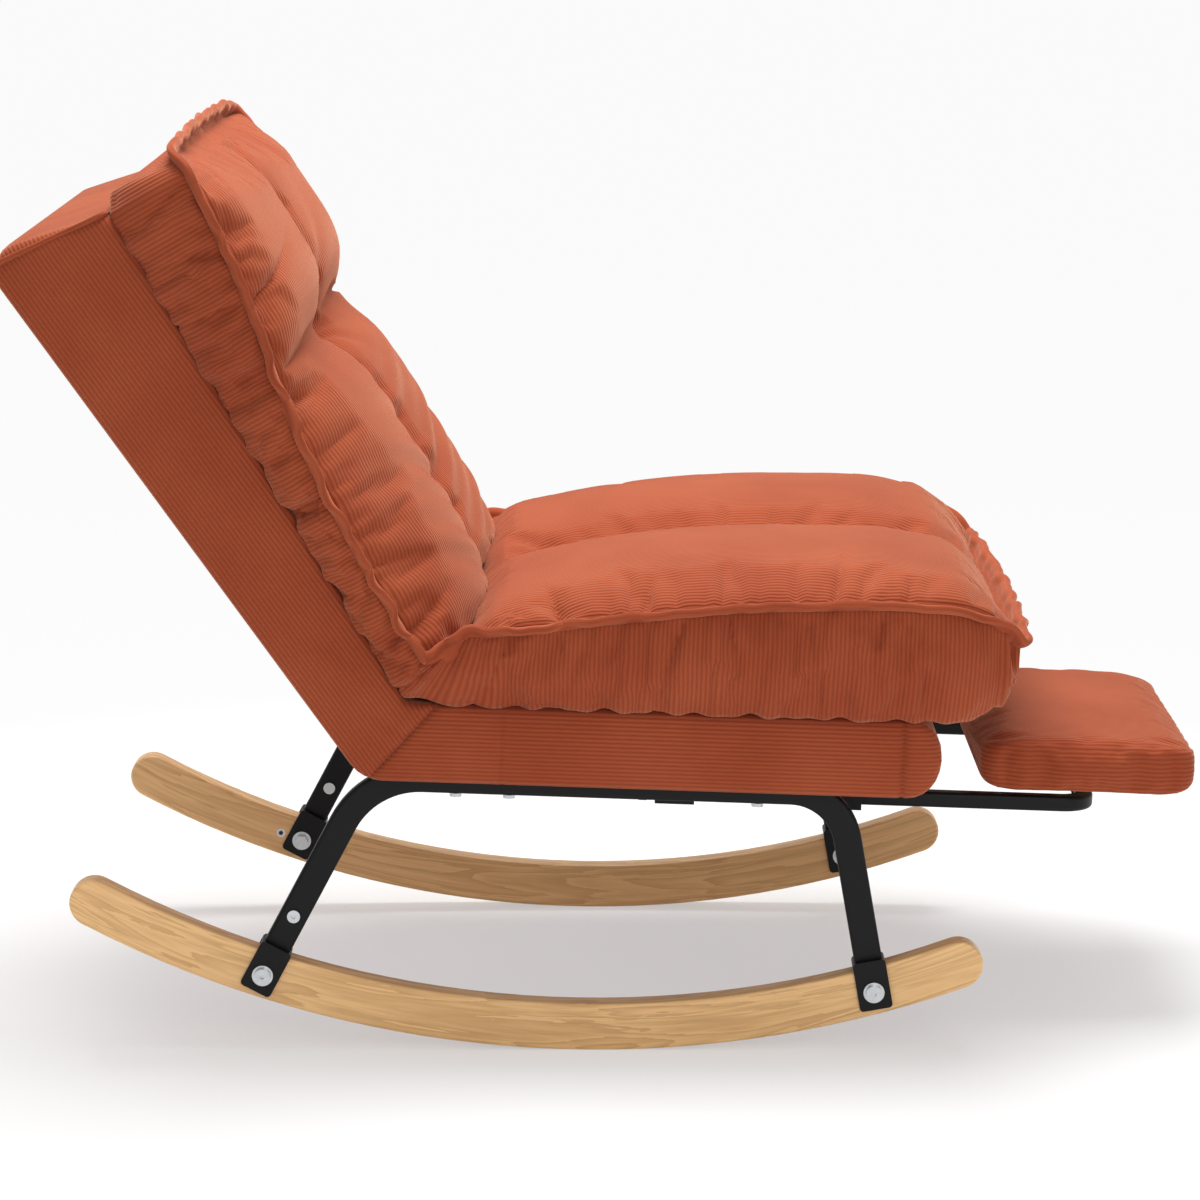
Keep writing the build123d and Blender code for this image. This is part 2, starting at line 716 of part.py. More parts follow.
arm_screw_rows = {
    "hinge_seat_screws": (seat_side, seat_arm_face, seat_arm_screws),
    "hinge_back_screws": (back_side, back_arm_inner, back_arm_screws),
}
for name, (plane_at, face, places) in arm_screw_rows.items():
    with BuildPart() as arm_screws:
        for side in sides.values():
            with BuildSketch(plane_at(side * face)):
                with Locations(*places):
                    Circle(arm_screw_head)
            extrude(amount=side * arm_screw_head_height)
            with BuildSketch(plane_at(side * face)):
                with Locations(*places):
                    Circle(arm_screw)
            extrude(amount=-side * (arm + arm_screw_depth))
    arm_screws.part.label = name
    export_step(arm_screws.part, f"parts/{name}.step")

# Timber frame of the back; its stiles stand on the outer faces of the back arms
for name, side in sides.items():
    with BuildPart() as stile:
        with BuildSketch(back_side(side * back_arm_outer)):
            with Locations((stile_rear, stile_foot)):
                Rectangle(
                    stile_front - stile_rear,
                    back_height - top_panel - stile_foot,
                    align=(Align.MIN, Align.MIN),
                )
            with Locations(*back_arm_screws):
                Circle(arm_screw + bolt_gap, mode=Mode.SUBTRACT)
        extrude(amount=-side * (inner_half - back_arm_outer))
    stile.part.label = f"back_stile_{name}"
    export_step(stile.part, f"parts/back_stile_{name}.step")

back_rails = {
    "back_top_rail": back_height - top_panel - back_rail,
    "back_bottom_rail": back_arm_length + back_rail_clear,
}
for name, low in back_rails.items():
    with BuildPart() as cross_rail:
        with BuildSketch(back_side()):
            with Locations((stile_rear, low)):
                Rectangle(stile_front - stile_rear, back_rail, align=(Align.MIN, Align.MIN))
        extrude(amount=back_arm_outer, both=True)
    cross_rail.part.label = name
    export_step(cross_rail.part, f"parts/{name}.step")

back_strap_step = (back_height - top_panel - stile_foot - strap_width) / (back_straps - 1)
with BuildPart() as back_webbing:
    with BuildSketch(back_side()):
        for count in range(back_straps):
            with Locations((stile_front, stile_foot + count * back_strap_step)):
                Rectangle(webbing, strap_width, align=(Align.MIN, Align.MIN))
    extrude(amount=inner_half, both=True)
back_webbing.part.label = "back_webbing"
export_step(back_webbing.part, "parts/back_webbing.step")

# Padded panels of the back, thicker towards the top
back_rear = -knuckle
front_lean = asin((back_top_depth - back_foot_depth) / back_height)
foot_front = (knuckle * cos(front_lean), -knuckle * sin(front_lean))
brow_height = back_height - top_fall
brow = (foot_front[0] + (brow_height - foot_front[1]) * tan(front_lean), brow_height)
deck_rear = stile_front + webbing
rear_shoulder = (back_rear, back_height - back_top_round)
top_shoulder = (back_rear + back_top_round, back_height)

for name, side in sides.items():
    with BuildPart() as back_side_panel:
        with BuildSketch(back_side(side * (inner_half + panel / 2))):
            with BuildLine():
                Line((back_rear, 0), rear_shoulder)
                RadiusArc(rear_shoulder, top_shoulder, back_top_round)
                Polyline(top_shoulder, brow, foot_front)
                ThreePointArc(foot_front, (0, -knuckle), (back_rear, 0))
            make_face()
        extrude(amount=panel / 2, both=True)
    back_side_panel.part.label = f"back_side_panel_{name}"
    export_step(back_side_panel.part, f"parts/back_side_panel_{name}.step")

with BuildPart() as back_rear_panel:
    with BuildSketch(back_side()):
        with Locations((back_rear, 0)):
            Rectangle(rear_panel, back_height - top_panel, align=(Align.MIN, Align.MIN))
    extrude(amount=inner_half, both=True)
back_rear_panel.part.label = "back_rear_panel"
export_step(back_rear_panel.part, "parts/back_rear_panel.step")

top_low = back_height - top_panel
low_front = foot_front[0] + (top_low - foot_front[1]) * tan(front_lean)
deck_low = arm_width / 2
deck_front = foot_front[0] + (deck_low - foot_front[1]) * tan(front_lean)
with BuildPart() as back_top_panel:
    with BuildSketch(back_side()):
        with BuildLine():
            Polyline((back_rear, top_low), rear_shoulder)
            RadiusArc(rear_shoulder, top_shoulder, back_top_round)
            Polyline(top_shoulder, brow, (low_front, top_low), (back_rear, top_low))
        make_face()
    extrude(amount=inner_half, both=True)
back_top_panel.part.label = "back_top_panel"
export_step(back_top_panel.part, "parts/back_top_panel.step")

with BuildPart() as back_deck:
    with BuildSketch(back_side()):
        with BuildLine():
            Polyline(
                (deck_rear, deck_low), (deck_rear, top_low), (low_front, top_low), (deck_front, deck_low), close=True
            )
        make_face()
    extrude(amount=inner_half, both=True)
back_deck.part.label = "back_deck"
export_step(back_deck.part, "parts/back_deck.step")

# Cushion: each section has a flat underside, two sides drawn in at the seam, and two lobes
front_axis = T * cos(front_lean) - (W * cos(lean) - U * sin(lean)) * sin(front_lean)
front_rise = T * sin(front_lean) + (W * cos(lean) - U * sin(lean)) * cos(front_lean)
front_foot = seat_point(hinge_setback, hinge_height) + front_axis * knuckle


def back_section(rise):
    """The plane across the back cushion, with the width to the left and its depth up."""
    return Plane(origin=front_foot + front_rise * rise, x_dir=(0, -1, 0), z_dir=front_rise)


def cushion_section(plane, base, share, under, seam, crest, valley):
    """One section of the cushion, its heights measured from base."""
    half = share * cushion_width / 2
    foot = share * cushion_foot_width / 2
    waist = base + (under + seam) / 2
    with BuildSketch(plane) as section:
        with BuildLine():
            Line((-foot, base + under), (foot, base + under))
            ThreePointArc((foot, base + under), (half, waist), (half, base + seam))
            ThreePointArc((half, base + seam), (seat_lobe, base + crest), (0, base + valley))
            ThreePointArc((0, base + valley), (-seat_lobe, base + crest), (-half, base + seam))
            ThreePointArc((-half, base + seam), (-half, waist), (-foot, base + under))
        make_face()
    return section.sketch


seat_cushion_rear = hinge_setback + knuckle
seat_cushion_length = seat_cushion_front - seat_cushion_rear
seat_sections = [
    cushion_section(seat_section(seat_cushion_rear + place * seat_cushion_length), base_top, *heights)
    for place, *heights in seat_stations
]
with BuildPart() as seat_cushion:
    loft(seat_sections, ruled=True)
    extrude(seat_crease, amount=cushion_width, both=True, mode=Mode.SUBTRACT)
seat_cushion.part.label = "seat_cushion"
export_step(seat_cushion.part, "parts/seat_cushion.step")

back_cushion_length = (back_height - cushion_top_drop) / cos(front_lean)
back_sections = [
    cushion_section(back_section(place * back_cushion_length), 0, *heights)
    for place, *heights in back_stations
]
back_crease = beyond_ray(crease_angle + upright_travel + 1, -1)
with BuildPart() as back_cushion:
    loft(back_sections, ruled=True)
    extrude(back_crease, amount=cushion_width, both=True, mode=Mode.SUBTRACT)
back_cushion.part.label = "back_cushion"
export_step(back_cushion.part, "parts/back_cushion.step")

# Footrest rails: flat tubes that turn in towards the pivot bar
slide_end = guide_rear - fit_gap - stop_length
for name, side in sides.items():
    run = side * slide_spacing / 2
    with BuildPart() as footrest_rail:
        with BuildLine(seat_level(slide_height)) as path:
            FilletPolyline((slide_end, run), (pivot_place, run), (pivot_place, side * slide_stub), radius=slide_bend)
        with BuildSketch(Plane(origin=path.line @ 0, x_dir=(0, 1, 0), z_dir=path.line % 0)):
            RectangleRounded(slide_width, slide_depth, slide_corner)
            RectangleRounded(
                slide_width - 2 * slide_wall,
                slide_depth - 2 * slide_wall,
                slide_corner - slide_wall,
                mode=Mode.SUBTRACT,
            )
        sweep()
    footrest_rail.part.label = f"footrest_rail_{name}"
    export_step(footrest_rail.part, f"parts/footrest_rail_{name}.step")

with BuildPart() as footrest_pivot_bar:
    with BuildSketch(seat_side()):
        with Locations((pivot_place, slide_height)):
            Circle(pivot_radius)
    extrude(amount=slide_spacing / 2 - slide_bend, both=True)
footrest_pivot_bar.part.label = "footrest_pivot_bar"
export_step(footrest_pivot_bar.part, "parts/footrest_pivot_bar.step")

with BuildPart() as footrest_stops:
    places = [(side * slide_spacing / 2, slide_height) for side in sides.values()]
    with BuildSketch(seat_section(slide_end)):
        with Locations(*places):
            RectangleRounded(
                slide_width - 2 * slide_wall - 2 * bolt_gap,
                slide_depth - 2 * slide_wall - 2 * bolt_gap,
                slide_corner - slide_wall,
            )
    extrude(amount=stop_plug)
    with BuildSketch(seat_section(slide_end)):
        with Locations(*places):
            RectangleRounded(slide_width + 2 * stop_over, slide_depth + 2 * stop_over, slide_corner)
    extrude(amount=-stop_length)
footrest_stops.part.label = "footrest_stops"
export_step(footrest_stops.part, "parts/footrest_stops.step")

# Footrest pad: a board, a cushion round it, and two saddles that turn on the pivot bar
pad_low = slide_height + pad_lift
saddle_screw_places = [
    (pivot_place + step * (saddle_reach / 2 + pivot_radius), side * saddle_place)
    for side in sides.values()
    for step in (-1, 1)
]
with BuildPart() as footrest_board:
    with BuildSketch(seat_level(pad_low)):
        with Locations((pivot_place, 0)):
            Rectangle(pad_length - 2 * board_margin, pad_width - 2 * board_margin)
        with Locations(*saddle_screw_places):
            Circle(guide_screw + bolt_gap, mode=Mode.SUBTRACT)
    extrude(amount=board)
footrest_board.part.label = "footrest_board"
export_step(footrest_board.part, "parts/footrest_board.step")


def pad_section(place, share, under, shoulder, crown):
    """One section across the pad: flat below, round at the sides, crowned above."""
    half = share * pad_width / 2
    foot = half - pad_side_round
    low = pad_low + under * pad_height
    high = pad_low + shoulder * pad_height
    with BuildSketch(seat_section(pivot_place + (place - 0.5) * pad_length)) as section:
        with BuildLine():
            Line((-foot, low), (foot, low))
            ThreePointArc((foot, low), (half, (low + high) / 2), (foot, high))
            ThreePointArc((foot, high), (0, pad_low + crown * pad_height), (-foot, high))
            ThreePointArc((-foot, high), (-half, (low + high) / 2), (-foot, low))
        make_face()
    return section.sketch


pad_sections = [pad_section(*station) for station in pad_stations]
with BuildPart() as footrest_cushion:
    loft(pad_sections, ruled=True)
    with BuildSketch(seat_level(pad_low)):
        with Locations((pivot_place, 0)):
            Rectangle(pad_length - 2 * board_margin, pad_width - 2 * board_margin)
    extrude(amount=board, mode=Mode.SUBTRACT)
footrest_cushion.part.label = "footrest_cushion"
export_step(footrest_cushion.part, "parts/footrest_cushion.step")

saddle_radius = pivot_radius + bolt_gap + saddle_wall
saddle_half = saddle_reach + pivot_radius
with BuildPart() as footrest_saddles:
    for side in sides.values():
        with BuildSketch(seat_side(side * saddle_place)):
            with Locations((pivot_place, slide_height)):
                Circle(saddle_radius)
                Rectangle(2 * saddle_wall, pad_lift, align=(Align.CENTER, Align.MIN))
            with Locations((pivot_place, pad_low)):
                Rectangle(2 * saddle_half, saddle_plate, align=(Align.CENTER, Align.MAX))
            with Locations((pivot_place, slide_height)):
                Circle(pivot_radius + bolt_gap, mode=Mode.SUBTRACT)
        extrude(amount=saddle_width / 2, both=True)
    with BuildSketch(seat_level(pad_low)):
        with Locations(*saddle_screw_places):
            Circle(guide_screw + bolt_gap)
    extrude(amount=-saddle_plate, mode=Mode.SUBTRACT)
footrest_saddles.part.label = "footrest_saddles"
export_step(footrest_saddles.part, "parts/footrest_saddles.step")

with BuildPart() as saddle_screws:
    with BuildSketch(seat_level(pad_low - saddle_plate)):
        with Locations(*saddle_screw_places):
            Circle(guide_screw_head)
    extrude(amount=-guide_screw_head_height)
    with BuildSketch(seat_level(pad_low - saddle_plate)):
        with Locations(*saddle_screw_places):
            Circle(guide_screw)
    extrude(amount=saddle_plate + saddle_screw_depth)
saddle_screws.part.label = "saddle_screws"
export_step(saddle_screws.part, "parts/saddle_screws.step")
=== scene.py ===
"""Dresses the reclining rocking chair: upholstery, finishes and a plain studio."""
import json
import math

import bmesh
import bpy
import numpy as np
from bpy.props import FloatProperty, FloatVectorProperty, PointerProperty
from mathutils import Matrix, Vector


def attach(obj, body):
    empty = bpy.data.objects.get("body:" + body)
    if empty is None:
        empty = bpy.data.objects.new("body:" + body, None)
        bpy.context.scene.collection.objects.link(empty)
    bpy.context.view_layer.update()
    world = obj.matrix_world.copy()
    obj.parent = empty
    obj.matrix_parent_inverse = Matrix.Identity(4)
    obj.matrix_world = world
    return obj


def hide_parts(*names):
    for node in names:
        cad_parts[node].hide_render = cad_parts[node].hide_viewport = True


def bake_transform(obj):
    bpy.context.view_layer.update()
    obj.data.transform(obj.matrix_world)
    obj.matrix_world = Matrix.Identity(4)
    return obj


bl_info = {
    "name": "Reclining rocking chair",
    "version": (1, 0, 0),
    "blender": (4, 5, 0),
    "location": "3D View > Sidebar > Chair",
    "description": "Upholsters and finishes the rocking chair",
    "category": "Object",
}

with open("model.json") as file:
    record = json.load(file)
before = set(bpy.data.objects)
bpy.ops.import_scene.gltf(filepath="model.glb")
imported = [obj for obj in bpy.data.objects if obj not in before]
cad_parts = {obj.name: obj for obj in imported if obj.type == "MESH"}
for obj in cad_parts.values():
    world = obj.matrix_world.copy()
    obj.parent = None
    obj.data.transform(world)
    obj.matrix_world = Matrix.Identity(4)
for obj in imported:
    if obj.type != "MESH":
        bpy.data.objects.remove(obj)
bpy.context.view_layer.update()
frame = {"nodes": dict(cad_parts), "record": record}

# The seat's pitch, the back's lean from square to the seat, and the lean of the back's front face
PITCH = math.radians(2.0)
LEAN = math.radians(37.3)
BACK_HEIGHT = 604.0
BACK_LENGTH = 592.0
DEPTH_BELOW = 132.0
DEPTH_ABOVE = 80.0
FRONT_LEAN = math.asin((DEPTH_BELOW - DEPTH_ABOVE) / BACK_HEIGHT)
FRONT_ANGLE = LEAN - FRONT_LEAN
# The recline axis in the seat's coordinates, forward and up in mm, and the shell's radius round it
HINGE = (-222.0, 314.0)
KNUCKLE = 40.0
# The padded base: heights, front, the rounding of its front and half its width
BASE_TOP = 355.0
BASE_BOTTOM = 274.0
BASE_FRONT = 328.0
NOSE = 34.0
BODY_HALF = 322.0
ROCKER_RADIUS = 1080.0


def seat(u, w, y):
    """World point in metres from the seat's coordinates in millimetres."""
    x = u * math.cos(PITCH) + w * math.sin(PITCH)
    z = -u * math.sin(PITCH) + w * math.cos(PITCH)
    return (x / 1000, y / 1000, z / 1000)


def linear(hex_colour):
    """Linear RGBA from an sRGB hex colour."""
    values = [int(hex_colour[i:i + 2], 16) / 255 for i in (0, 2, 4)]
    return tuple(
        v / 12.92 if v <= 0.04045 else ((v + 0.055) / 1.055) ** 2.4 for v in values
    ) + (1.0,)


def add_node(tree, kind, links=None, **settings):
    """Adds a shader node, sets its properties and sockets, and links its inputs."""
    node = tree.nodes.new("ShaderNode" + kind)
    for key, value in settings.items():
        setattr(node, key, value)
    for socket, source in (links or {}).items():
        if isinstance(source, bpy.types.NodeSocket):
            tree.links.new(source, node.inputs[socket])
        else:
            node.inputs[socket].default_value = source
    return node


def new_material(name):
    """An empty node material, its tree and its output node."""
    material = bpy.data.materials.new(name)
    material.use_nodes = True
    material.node_tree.nodes.clear()
    tree = material.node_tree
    return material, tree, add_node(tree, "OutputMaterial")


def per_metre(size_mm):
    """Texture scale, in features to the metre, for a feature of this size."""
    return 1000.0 / size_mm


def corduroy(name, base, light, dark, wale_mm):
    """Velvet corduroy, woven cotton with a cut pile in raised wales."""
    # It gives the eye grooves darkened with painted shade, a soft rim of sheen, and patches where the pile
    # was brushed over
    patch_mm = 110.0
    # Single fibres are too fine to show, so the pile is drawn as tufts
    tuft_mm = 2.4
    material, tree, output = new_material(name)
    uv = add_node(tree, "UVMap", uv_map="wale")
    across = add_node(tree, "SeparateXYZ", {0: uv.outputs[0]})
    turns = add_node(
        tree, "Math", {0: across.outputs[0], 1: 2 * math.pi / wale_mm}, operation="MULTIPLY"
    )
    wave = add_node(tree, "Math", {0: turns.outputs[0]}, operation="SINE")
    wale = add_node(tree, "MapRange", {0: wave.outputs[0], 1: -1.0, 2: 0.6})
    place = add_node(tree, "TexCoord").outputs["Object"]
    patches = add_node(tree, "TexNoise", {"Vector": place, "Scale": per_metre(patch_mm), "Detail": 4.0})
    pile = add_node(tree, "TexNoise", {"Vector": place, "Scale": per_metre(tuft_mm), "Detail": 2.0})
    shade = add_node(tree, "MapRange", {0: patches.outputs[0], 1: 0.3, 2: 0.72, 3: 0.22, 4: 0.62})
    tone = add_node(tree, "Mix", {0: shade.outputs[0], 6: base, 7: light}, data_type="RGBA")
    # Towards the grooves between the wales the colour darkens to the dark tone: painted shade in these
    # recesses, on top of the bump
    groove_shade_share = add_node(tree, "MapRange", {0: wale.outputs[0], 3: 0.4, 4: 0.0})
    colour = add_node(
        tree, "Mix", {0: groove_shade_share.outputs[0], 6: tone.outputs[2], 7: dark}, data_type="RGBA"
    )
    fuzz = add_node(
        tree, "Math", {0: pile.outputs[0], 1: 0.35, 2: wale.outputs[0]}, operation="MULTIPLY_ADD"
    )
    bump = add_node(tree, "Bump", {"Height": fuzz.outputs[0], "Strength": 0.5, "Distance": 0.001})
    shader = add_node(
        tree,
        "BsdfPrincipled",
        {
            "Base Color": colour.outputs[2],
            "Normal": bump.outputs[0],
            "Roughness": 0.92,
            "Specular IOR Level": 0.2,
            "Sheen Weight": 0.55,
            "Sheen Roughness": 0.38,
            "Sheen Tint": linear("F4B796"),
        },
    )
    tree.links.new(shader.outputs[0], output.inputs[0])
    return material


def bent_wood(name, base, dark, knot):
    """Birch, laminated, bent and lacquered."""
    # It gives the eye long grain that follows the bend, fine pores, a few small knots and a satin coat
    figure_mm = (455.0, 71.0, 29.0)
    pore_mm = (71.0, 8.3, 2.4)
    knot_spacing_mm = 200.0
    material, tree, output = new_material(name)
    place = add_node(tree, "TexCoord").outputs["Object"]
    # Coordinates bent with the rocker: along its arc, across it, and out from the arc's centre
    level = add_node(tree, "SeparateXYZ", {0: place})
    centre = ROCKER_RADIUS / 1000
    below = add_node(tree, "Math", {0: centre, 1: level.outputs[2]}, operation="SUBTRACT")
    turn = add_node(tree, "Math", {0: level.outputs[0], 1: below.outputs[0]}, operation="ARCTAN2")
    along = add_node(tree, "Math", {0: turn.outputs[0], 1: centre}, operation="MULTIPLY")
    arm = add_node(tree, "CombineXYZ", {0: level.outputs[0], 2: below.outputs[0]})
    radius = add_node(tree, "VectorMath", {0: arm.outputs[0]}, operation="LENGTH")
    bent = add_node(
        tree, "CombineXYZ", {0: along.outputs[0], 1: level.outputs[1], 2: radius.outputs["Value"]}
    ).outputs[0]
    stretch = add_node(tree, "Mapping", {0: bent, "Scale": [per_metre(mm) for mm in figure_mm]})
    warp = add_node(
        tree,
        "TexNoise",
        {"Vector": stretch.outputs[0], "Scale": 1.0, "Detail": 6.0, "Distortion": 0.8},
    )
    fine_scale = add_node(tree, "Mapping", {0: bent, "Scale": [per_metre(mm) for mm in pore_mm]})
    fine = add_node(tree, "TexNoise", {"Vector": fine_scale.outputs[0], "Scale": 1.0, "Detail": 3.0})
    bands = add_node(tree, "Math", {0: warp.outputs[0], 1: 9.0}, operation="MULTIPLY")
    rings = add_node(tree, "Math", {0: bands.outputs[0]}, operation="FRACT")
    figure = add_node(tree, "MapRange", {0: rings.outputs[0], 1: 0.2, 2: 1.0, 3: 0.0, 4: 0.55})
    tone = add_node(tree, "Mix", {0: figure.outputs[0], 6: base, 7: dark}, data_type="RGBA")
    pores = add_node(tree, "MapRange", {0: fine.outputs[0], 1: 0.52, 2: 0.75, 3: 0.0, 4: 0.35})
    grain = add_node(tree, "Mix", {0: pores.outputs[0], 6: tone.outputs[2], 7: dark}, data_type="RGBA")
    cells = add_node(tree, "TexVoronoi", {"Vector": bent, "Scale": per_metre(knot_spacing_mm)})
    eye = add_node(tree, "MapRange", {0: cells.outputs[0], 1: 0.02, 2: 0.05, 3: 0.7, 4: 0.0})
    colour = add_node(tree, "Mix", {0: eye.outputs[0], 6: grain.outputs[2], 7: knot}, data_type="RGBA")
    bump = add_node(tree, "Bump", {"Height": fine.outputs[0], "Strength": 0.12, "Distance": 0.0003})
    shader = add_node(
        tree,
        "BsdfPrincipled",
        {
            "Base Color": colour.outputs[2],
            "Normal": bump.outputs[0],
            "Roughness": 0.42,
            "Coat Weight": 0.25,
            "Coat Roughness": 0.25,
        },
    )
    tree.links.new(shader.outputs[0], output.inputs[0])
    return material


def mottled(name, low, high, grain_mm, roughness, metallic=0.0, specular=0.5, bump_mm=0.05):
    """A finish with a fine mottle of two tones, and a bump to match."""
    material, tree, output = new_material(name)
    place = add_node(tree, "TexCoord").outputs["Object"]
    grit = add_node(tree, "TexNoise", {"Vector": place, "Scale": per_metre(grain_mm), "Detail": 4.0})
    colour = add_node(tree, "Mix", {0: grit.outputs[0], 6: low, 7: high}, data_type="RGBA")
    bump = add_node(
        tree, "Bump", {"Height": grit.outputs[0], "Strength": 0.3, "Distance": bump_mm / 1000}
    )
    shader = add_node(
        tree,
        "BsdfPrincipled",
        {
            "Base Color": colour.outputs[2],
            "Normal": bump.outputs[0],
            "Roughness": roughness,
            "Metallic": metallic,
            "Specular IOR Level": specular,
        },
    )
    tree.links.new(shader.outputs[0], output.inputs[0])
    return material


# Tones, size of the mottle in mm, roughness and, where it isn't a plain one, metallic or specular level
MOTTLED = {
    # Baked powder: near black, a satin gloss, and a fine peel that is drawn coarser than it is
    "black powder coat": ("070708", "121214", 1.1, {"roughness": 0.42, "specular": 0.22}),
    # Electroplated and passivated: bright and cool, its spangle drawn larger than it is
    "bright zinc plate": ("B9BBBE", "D6D8DA", 3.8, {"roughness": 0.28, "metallic": 1.0}),
    # Rolled hot: grey mill scale in cloudy patches
    "hot rolled steel": ("55575A", "77797C", 5.0, {"roughness": 0.45, "metallic": 1.0}),
    # Sawn and left bare: pale, dull, with broad figure
    "sawn pine": ("C69C62", "E0BE88", 17.0, {"roughness": 0.7}),
    # Spunbonded fibres: black and dull, the web's thin places drawn coarser
    "black nonwoven cloth": ("0E0E0E", "262626", 1.4, {"roughness": 0.9}),
    # Woven jute: dull brown, flecked at about the width of a yarn
    "jute webbing": ("5B5248", "7A6F61", 2.9, {"roughness": 0.9}),
    # Cast and cut foam: cream, open cells drawn coarser
    "upholstery foam": ("D9CFA8", "EFE6C4", 3.3, {"roughness": 0.95}),
    # Moulded against a sparked tool: black, with a fine even grain drawn coarser
    "moulded nylon": ("101012", "1C1C1E", 3.3, {"roughness": 0.5}),
}


def finish(name):
    """A finish by name, made once."""
    if name in bpy.data.materials:
        return bpy.data.materials[name]
    colours = bpy.context.scene.chair_colours
    if name == "velvet corduroy":
        wale_mm = bpy.context.scene.chair_sizes.wale_width * 1000
        return corduroy(name, colours.fabric, colours.fabric_light, colours.fabric_groove_shade, wale_mm)
    if name == "lacquered bent birch":
        return bent_wood(name, colours.wood, linear("B98449"), linear("8A5A2B"))
    low, high, grain_mm, surface = MOTTLED[name]
    return mottled(name, linear(low), linear(high), grain_mm, **surface)


def smooth_table(rows, places):
    """Rows of numbers, first column increasing, read smoothly at new places."""
    table = np.array(rows, float)
    x = table[:, 0]
    columns = []
    for column in table[:, 1:].T:
        slope = np.gradient(column, x)
        index = np.clip(np.searchsorted(x, places) - 1, 0, len(x) - 2)
        step = x[index + 1] - x[index]
        f = (places - x[index]) / step
        columns.append(
            (1 + 2 * f) * (1 - f) ** 2 * column[index]
            + f * (1 - f) ** 2 * step * slope[index]
            + f**2 * (3 - 2 * f) * column[index + 1]
            + f**2 * (f - 1) * step * slope[index + 1]
        )
    return np.array(columns).T


def ripple(x):
    """Uneven waves along a line in mm, about -1 to 1."""
    return (
        np.sin(x * 2 * math.pi / 47 + 0.4)
        + 0.8 * np.sin(x * 2 * math.pi / 29 + 1.9)
        + 0.6 * np.sin(x * 2 * math.pi / 73 + 4.0)
    ) / 1.9


def pleats(along, away, spacing, width, reach, start):
    """Pinched pleats square to a seam: 1 in each fold at the seam, fading with the distance from it."""
    # Place, strength, slant and length differ from fold to fold
    fold = np.zeros_like(away)
    for k in range(int(along.max() / spacing) + 2):
        uneven = 0.33 * math.sin(2.4 * k + start) + 0.2 * math.sin(5.1 * k + 2 * start)
        centre = spacing * (k + uneven)
        strength = 0.65 + 0.35 * math.sin(1.7 * k + 3 * start)
        slant = 0.3 * math.sin(3.3 * k + start)
        length = reach * (0.75 + 0.4 * math.sin(2.9 * k + start))
        beside = np.abs(along + slant * away - centre)
        fold += strength * np.exp(-beside / width) * np.exp(-((away / length) ** 2))
    return np.clip(fold, 0, 1)


def make_object(name, points, faces, uvs, material):
    """A mesh object with its wale map, its faces turned outwards, smooth shaded."""
    mesh = bpy.data.meshes.new(name)
    mesh.from_pydata([tuple(p) for p in points], [], faces)
    layer = mesh.uv_layers.new(name="wale")
    layer.data.foreach_set("uv", [c for face in uvs for corner in face for c in corner])
    mesh.materials.append(finish(material))
    mesh.polygons.foreach_set("use_smooth", [True] * len(faces))
    turned = bmesh.new()
    turned.from_mesh(mesh)
    bmesh.ops.recalc_face_normals(turned, faces=turned.faces)
    turned.to_mesh(mesh)
    turned.free()
    obj = bpy.data.objects.new(name, mesh)
    bpy.context.scene.collection.objects.link(obj)
    return obj


def puff(obj, pinned, cap_mm, pressure):
    """Swells a closed mesh with Cloth, its sewn points held, and gives the swollen points in mm."""
    frames = 20
    start = np.array([v.co for v in obj.data.vertices])
    group = obj.vertex_groups.new(name="sewn")
    group.add([int(i) for i in np.nonzero(pinned)[0]], 1.0, "REPLACE")
    cloth = obj.modifiers.new("Cloth", "CLOTH")
    cloth.settings.quality = 4
    cloth.settings.mass = 0.3
    cloth.settings.tension_stiffness = 12
    cloth.settings.compression_stiffness = 12
    cloth.settings.shear_stiffness = 4
    cloth.settings.bending_stiffness = 0.4
    cloth.settings.use_pressure = True
    cloth.settings.uniform_pressure_force = pressure
    cloth.settings.shrink_min = -0.04
    cloth.settings.vertex_group_mass = "sewn"
    cloth.settings.effector_weights.gravity = 0
    cloth.collision_settings.use_collision = False
    cloth.collision_settings.use_self_collision = False
    cloth.point_cache.frame_start = 1
    cloth.point_cache.frame_end = frames
    scene = bpy.context.scene
    for number in range(1, frames + 1):
        scene.frame_set(number)
    evaluated = obj.evaluated_get(bpy.context.evaluated_depsgraph_get())
    move = np.array([v.co for v in evaluated.data.vertices]) - start
    obj.modifiers.remove(cloth)
    obj.vertex_groups.clear()
    scene.frame_set(1)
    length = np.linalg.norm(move, axis=1, keepdims=True)
    move *= np.minimum(1.0, cap_mm / 1000 / np.maximum(length, 1e-9))
    return (start + move) * 1000


def subdivide(obj):
    """One level of smoothing, left live."""
    modifier = obj.modifiers.new("Smooth", "SUBSURF")
    modifier.levels = 1
    modifier.render_levels = 1


def run_along(path):
    """How far each point of a path lies along it."""
    return np.concatenate([[0], np.cumsum(np.linalg.norm(np.diff(path, axis=0), axis=1))])


